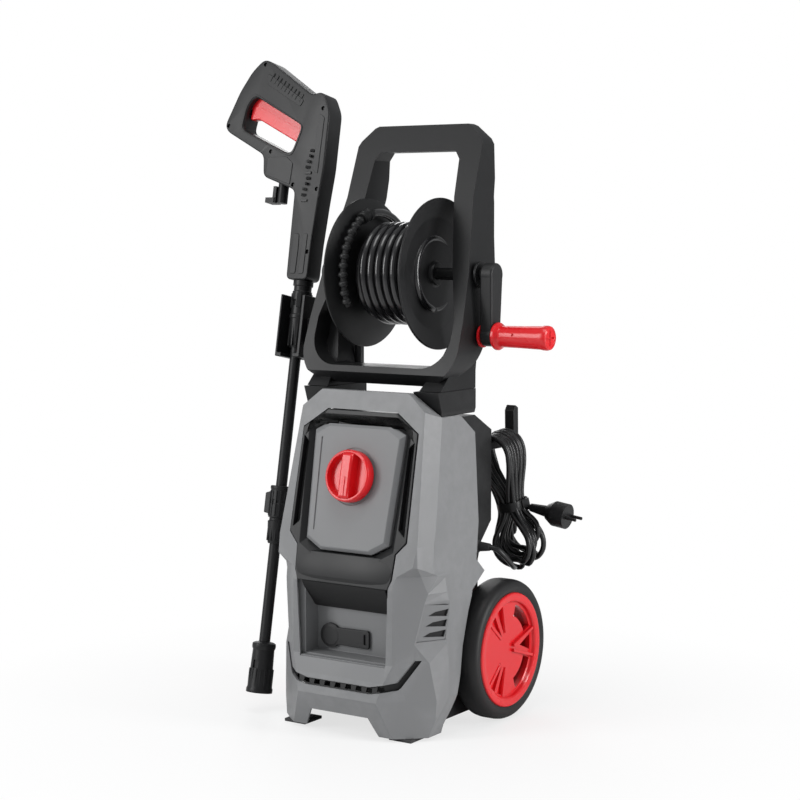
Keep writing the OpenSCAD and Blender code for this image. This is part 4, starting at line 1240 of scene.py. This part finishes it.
def add_hose_connector():
    """Bend sleeve of beads and the quick connector at the hose's outer end."""
    def on_end(degrees):
        t = math.radians(degrees)
        return END_X, REEL_Y + END_R * math.sin(t), REEL_Z - END_R * math.cos(t)

    sleeve = repeated("ball", "sleeve", shift(END_X, REEL_Y, REEL_Z) @ TO_X, "dark_plastic",
                      11, END_R + 1, 122, 92, size=(14, 11, 14))
    # The core between the beads is in the near-black of the painted shade.
    core = tube("sleeve_core", [Vector(on_end(t)) for t in range(196, 302, 3)], 4.6, 12,
                "shade_black")
    at = shift(*on_end(200)) @ turn(20, "X")
    nut = put("nut", lathe([(0, -13), (8, -13), (9.4, -11), (9.4, -3), (8.4, -2), (8.4, 2),
                            (9.4, 3), (9.4, 11), (8, 13), (0, 13)], 40, at @ turn(90, "X")),
              "black_plastic", 0.4)
    piece = joined("hose_connector", [sleeve, core, nut])
    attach(piece, BODY_OF["hose_end"])


def add_crank():
    """The crank's red grip on its steel pin, and its arm."""
    grip = solid("crank_grip_moulded", lathe(
        [(5.05, 162.4), (18.6, 162.4), (20, 164), (20, 167.4), (18.4, 170), (16, 172.4),
         (15.4, 176), (15.8, 205), (16.8, 238), (17.6, 241), (17.8, 247), (16.8, 250.6),
         (14.6, 252), (13.4, 250.4), (0, 250.4), (0, 245), (5.05, 245)], 72, GRIP),
        "red_plastic")
    for wide, tall in ((2.4, 22), (22, 2.4)):
        cross = [(-wide / 2, -tall / 2), (wide / 2, -tall / 2), (wide / 2, tall / 2),
                 (-wide / 2, tall / 2)]
        cut(grip, moved(solid("cross", prism(cross, 248.4, 260, UP_Z)), GRIP))
    cut(grip, moved(solid("hole", prism(arc_points(-15, 4, 1.8, 0, 330, 11), 196, 199.6, UP_Z)),
                    GRIP))
    rounded(grip, 0.4, 2)
    stands_for(grip, "crank_grip")
    pin = put("pin", lathe([(0, 142), (5, 142), (5, 244), (0, 244)], 32, GRIP), "steel", 0.3)
    disc = put("disc", lathe([(0, 138), (15.6, 138), (17, 139.4), (17, 142), (0, 142)], 64,
                             GRIP), "red_plastic", 0.4)
    stands_for(joined("crank_pin_moulded", [pin, disc]), "crank_pin")
    stands_for(from_node("crank_arm", 3.2, 4), "crank_arm")


# ---- gun and lance ----

TRIGGER_OPENING = [(-133, 915), (-120, 932), (-26, 884), (-25, 876), (-37, 843), (-46, 840),
                   (-139, 880)]


def on_gun(name, outline, lo, hi, slot="dark_plastic", bevel=0.8):
    """A plate on the gun, in the lance's own axes."""
    return put(name, prism(outline, lo, hi), slot, bevel, matrix=ON_LANCE)


GUN_OUTLINE = [(18, 643), (19, 700), (23, 767), (27, 815), (27, 904), (14, 930), (4, 934),
               (-10, 930), (-98, 987), (-112, 990), (-132, 972), (-152, 941), (-175, 888),
               (-169, 877), (-92, 838), (-88, 804), (-24, 782), (-22, 643)]
TRIGGER_CHANNEL = [(-128, 968), (-110, 978), (0, 910), (6, 892), (-6, 872), (-40, 866),
                   (-148, 910)]
GUN_BORES = [(0, 720, 840, 12.1), (0, 659, 721, 8.8), (0, 600, 660, 8.6),
             (-58, 762, 810, 8.7)]
GUN_SCREWS = [(-107, 982), (-167, 886), (-78, 843), (14, 908), (18, 783), (-28, 790),
              (13, 686)]


GUN_PLATES = [[(-16, 652), (-5, 652), (-4, 690), (-5, 714), (-16, 714)],
              [(-82, 806), (-34, 790), (-32, 824), (-46, 834), (-82, 834)],
              [(0, 652), (10, 652), (11, 714), (2, 714)],
              [(7, 812), (17, 806), (19, 894), (9, 900)],
              [(-100, 968), (-24, 922), (-30, 912), (-98, 950)]]
GUN_HALF = 17                       # depth of each half of the gun


def softened(outline, radius, steps=4):
    """The outline with each corner turned into a short curve."""
    out = []
    n = len(outline)
    for k in range(n):
        a, b, c = (Vector(outline[(k + d) % n]) for d in (-1, 0, 1))
        start = b + (a - b).normalized() * min(radius, 0.45 * (a - b).length)
        end = b + (c - b).normalized() * min(radius, 0.45 * (c - b).length)
        for i in range(steps + 1):
            t = i / steps
            out.append(tuple(start.lerp(b, t).lerp(b.lerp(end, t), t)))
    return out


def crowned(obj, face_y, width, segments=5):
    """Rounds only the edges of the face at that depth, and leaves the parting line crisp."""
    mesh = obj.data
    weight = mesh.attributes.new("bevel_weight_edge", "FLOAT", "EDGE")
    for edge in mesh.edges:
        on = all(abs(mesh.vertices[v].co.y - face_y * MM) < 1e-5 for v in edge.vertices)
        weight.data[edge.index].value = 1.0 if on else 0.0
    applied(obj, ("BEVEL", dict(width=width * MM, segments=segments, limit_method="WEIGHT",
                                use_clamp_overlap=True)))
    return smooth(obj)


def gun_half(name, side):
    """One half of the gun's casing, with its bores and screw wells."""
    shell = solid(name, prism(softened(GUN_OUTLINE, 9), 0, side * GUN_HALF), "dark_plastic")
    cut(shell, solid("opening", prism(softened(TRIGGER_OPENING, 9), -30, 30)))
    tidied(shell, 0.1)
    crowned(shell, side * GUN_HALF, 4.2)
    cut(shell, solid("channel", prism(TRIGGER_CHANNEL, -7.4, 7.4)))
    for x, lo, hi, r in GUN_BORES:
        cut(shell, solid("bore", prism(arc_points(x, 0, r, 0, 345, 23), lo, hi, UP_Z)))
    for x, z in GUN_SCREWS:
        well = arc_points(x, z, 3.5, 0, 330, 11)
        cut(shell, solid("well", prism(well, side * 11, side * 30)))
        cut(shell, solid("pilot", prism(arc_points(x, z, 1.7, 0, 330, 11), -20, 20)))
    moved(shell, ON_LANCE)
    return smooth(shell)


def inset_rim(outline, grow, lo, hi):
    """A thin raised line that follows the outline."""
    xc = sum(x for x, _ in outline) / len(outline)
    zc = sum(z for _, z in outline) / len(outline)
    wide = [(xc + (x - xc) * (1 + grow), zc + (z - zc) * (1 + 1.6 * grow))
            for x, z in outline]
    rim = solid("rim", prism(softened(wide, 9), lo, hi), "dark_plastic")
    thin = [(xc + (x - xc) * (1 + 0.3 * grow), zc + (z - zc) * (1 + 0.5 * grow))
            for x, z in outline]
    cut(rim, solid("rim_hole", prism(softened(thin, 9), -40, 40)))
    return rounded(moved(rim, ON_LANCE), 0.7, 3)


def add_gun():
    """Both halves of the gun with their plates and ribs, and the trigger."""
    for node, side in (("gun_shell_front", -1), ("gun_shell_back", 1)):
        lo, hi = sorted((side * 15, side * 18))
        extras = [inset_rim(TRIGGER_OPENING, 0.08, lo, hi)]
        for outline in GUN_PLATES:
            extras.append(on_gun("plate", softened(outline, 3, 3), lo, hi, bevel=1.0))
        extras.append(repeated(
            "block", "ladder", ON_LANCE @ shift(-3, side * 17.0, 765), "dark_plastic", 10,
            step=(0.5, 0, 8.6), size=(12, 4.0, 4.2), bevel=0.7))
        extras.append(repeated(
            "block", "grip_ribs", ON_LANCE @ shift(-30, side * 17.2, 925) @ turn(31, "Y"),
            "dark_plastic", 9, step=(-8.6, 0, 0), size=(2.6, 2.4, 15), bevel=0.7))
        shell = gun_half(node + "_half", side)
        stands_for(joined(node + "_moulded", [shell] + extras), node)
    trigger = from_node("gun_trigger", 2.2, 4)
    lobe = on_gun("trigger_lobe", softened([(-130, 930), (-134.5, 896), (-118, 898), (-36, 858),
                                            (-29, 880), (-112, 932)], 6), -6.4, 6.4,
                  "red_plastic", 2.4)
    stands_for(joined("gun_trigger_moulded", [trigger, lobe]), "gun_trigger")


def lance_lathe(name, profile, slot="black_plastic", bevel=0.4):
    """A turned part on the lance's axis."""
    return put(name, lathe(profile, 64, ON_LANCE), slot, bevel, 2)


def add_lance():
    """The lance's couplings and its spray nozzle."""
    top = lance_lathe("coupling", [
        (8.5, 540), (10.6, 540), (11.4, 543), (13.8, 566), (15, 584), (16, 585), (16, 590),
        (14.6, 591), (14.6, 604), (12.6, 605), (12.6, 612), (15, 613), (15, 626), (13.6, 627),
        (13.6, 634), (15.4, 635), (15.4, 642.6), (8.5, 642.6)])
    cage = repeated("block", "cage", ON_LANCE @ shift(0, 0, 562), count=12, radius=12.6,
                    size=(4, 2.6, 40), bevel=0.8)
    claws = repeated("block", "claws", ON_LANCE @ shift(0, 0, 612), count=4, radius=13.6,
                     start=20, size=(5, 8, 22), bevel=0.9)
    stands_for(joined("lance_coupling_moulded", [top, cage, claws]), "lance_coupling")
    middle = lance_lathe("collar", [
        (8.5, 240), (11, 240), (12, 242), (14.4, 266), (15, 274), (13, 275), (13, 279),
        (15.2, 280), (15.2, 300), (14.4, 301), (14.4, 306), (15.2, 307), (15.2, 322),
        (16, 323), (16, 327), (14.8, 328), (8.5, 328)])
    nut_ribs = repeated("block", "nut_ribs", ON_LANCE @ shift(0, 0, 301), count=14,
                        radius=14.6, size=(3.4, 3, 38), bevel=0.8)
    cone_ribs = repeated("block", "cone_ribs", ON_LANCE @ shift(0, 0, 258), count=12,
                         radius=12.2, size=(4, 2.2, 28), bevel=0.8)
    tab = put("tab", prism([(-25, 286), (-13, 284), (-13, 320), (-25, 316)], -5, 5),
              "black_plastic", 1.2, matrix=ON_LANCE)
    stands_for(joined("lance_mid_coupling_moulded", [middle, nut_ribs, cone_ribs, tab]),
               "lance_mid_coupling")
    nozzle = solid("nozzle", lathe([
        (2, 30), (17, 30), (17.4, 15.6), (18.4, 15), (20, 15.4), (20, 21), (18.8, 23.4),
        (17.2, 52), (16.4, 80), (17.6, 82), (18, 85), (17.6, 89), (14, 91), (9.6, 92),
        (8.55, 92), (8.55, 74), (2, 74)], 64, ON_LANCE), "black_plastic")
    window = [(-4.5, 52), (4.5, 52), (4.5, 64), (-4.5, 64)]
    cut(nozzle, moved(solid("window", prism(window, -24, -14)), ON_LANCE))
    rounded(nozzle, 0.5, 2)
    ribs = repeated("block", "nozzle_ribs", ON_LANCE @ shift(0, 0, 38), count=16, radius=17.2,
                    start=11, size=(3, 2.6, 26), bevel=0.8)
    stands_for(joined("spray_nozzle_moulded", [nozzle, ribs]), "spray_nozzle")


power_cord, power_path = add_power_cord()
hose, hose_line = add_hose()
add_hose_connector()
add_shell()
add_bezel_piece()
add_panel()
add_knob()
add_cap()
add_tray()
add_louvres()
add_grille()
add_frame()
add_wheels()
add_reel()
add_crank()
add_gun()
add_lance()

# Nodes that have a piece of their own above; the others are refined copies of the CAD
DETAILED = {"accessory_tray", "control_panel", "cord_hank", "cord_lead", "cord_tie", "crank_arm",
            "crank_grip", "crank_pin", "detergent_cap", "front_bezel", "front_shell",
            "gun_shell_back", "gun_shell_front", "gun_trigger", "handle_frame", "hose_end",
            "hose_winding", "lance_coupling", "lance_mid_coupling", "lower_grille",
            "reel_flange_left", "reel_flange_right", "selector_knob", "side_louvres",
            "spray_nozzle", "tyre_left", "tyre_right", "wheel_hub_left", "wheel_hub_right"}
# Width of the rounding where it is not the usual one
EDGES = {"frame_collars": 2.4, "cord_hook": 2.0, "rear_cover": 3.0,
         "lance_holder": 1.2, "base_chassis": 1.5}
BLACKENED = {"gun_screws": "black_plastic"}
for name in frame["nodes"]:
    if name not in DETAILED:
        stands_for(from_node(name, EDGES.get(name, 0.8), slot=BLACKENED.get(name)), name)
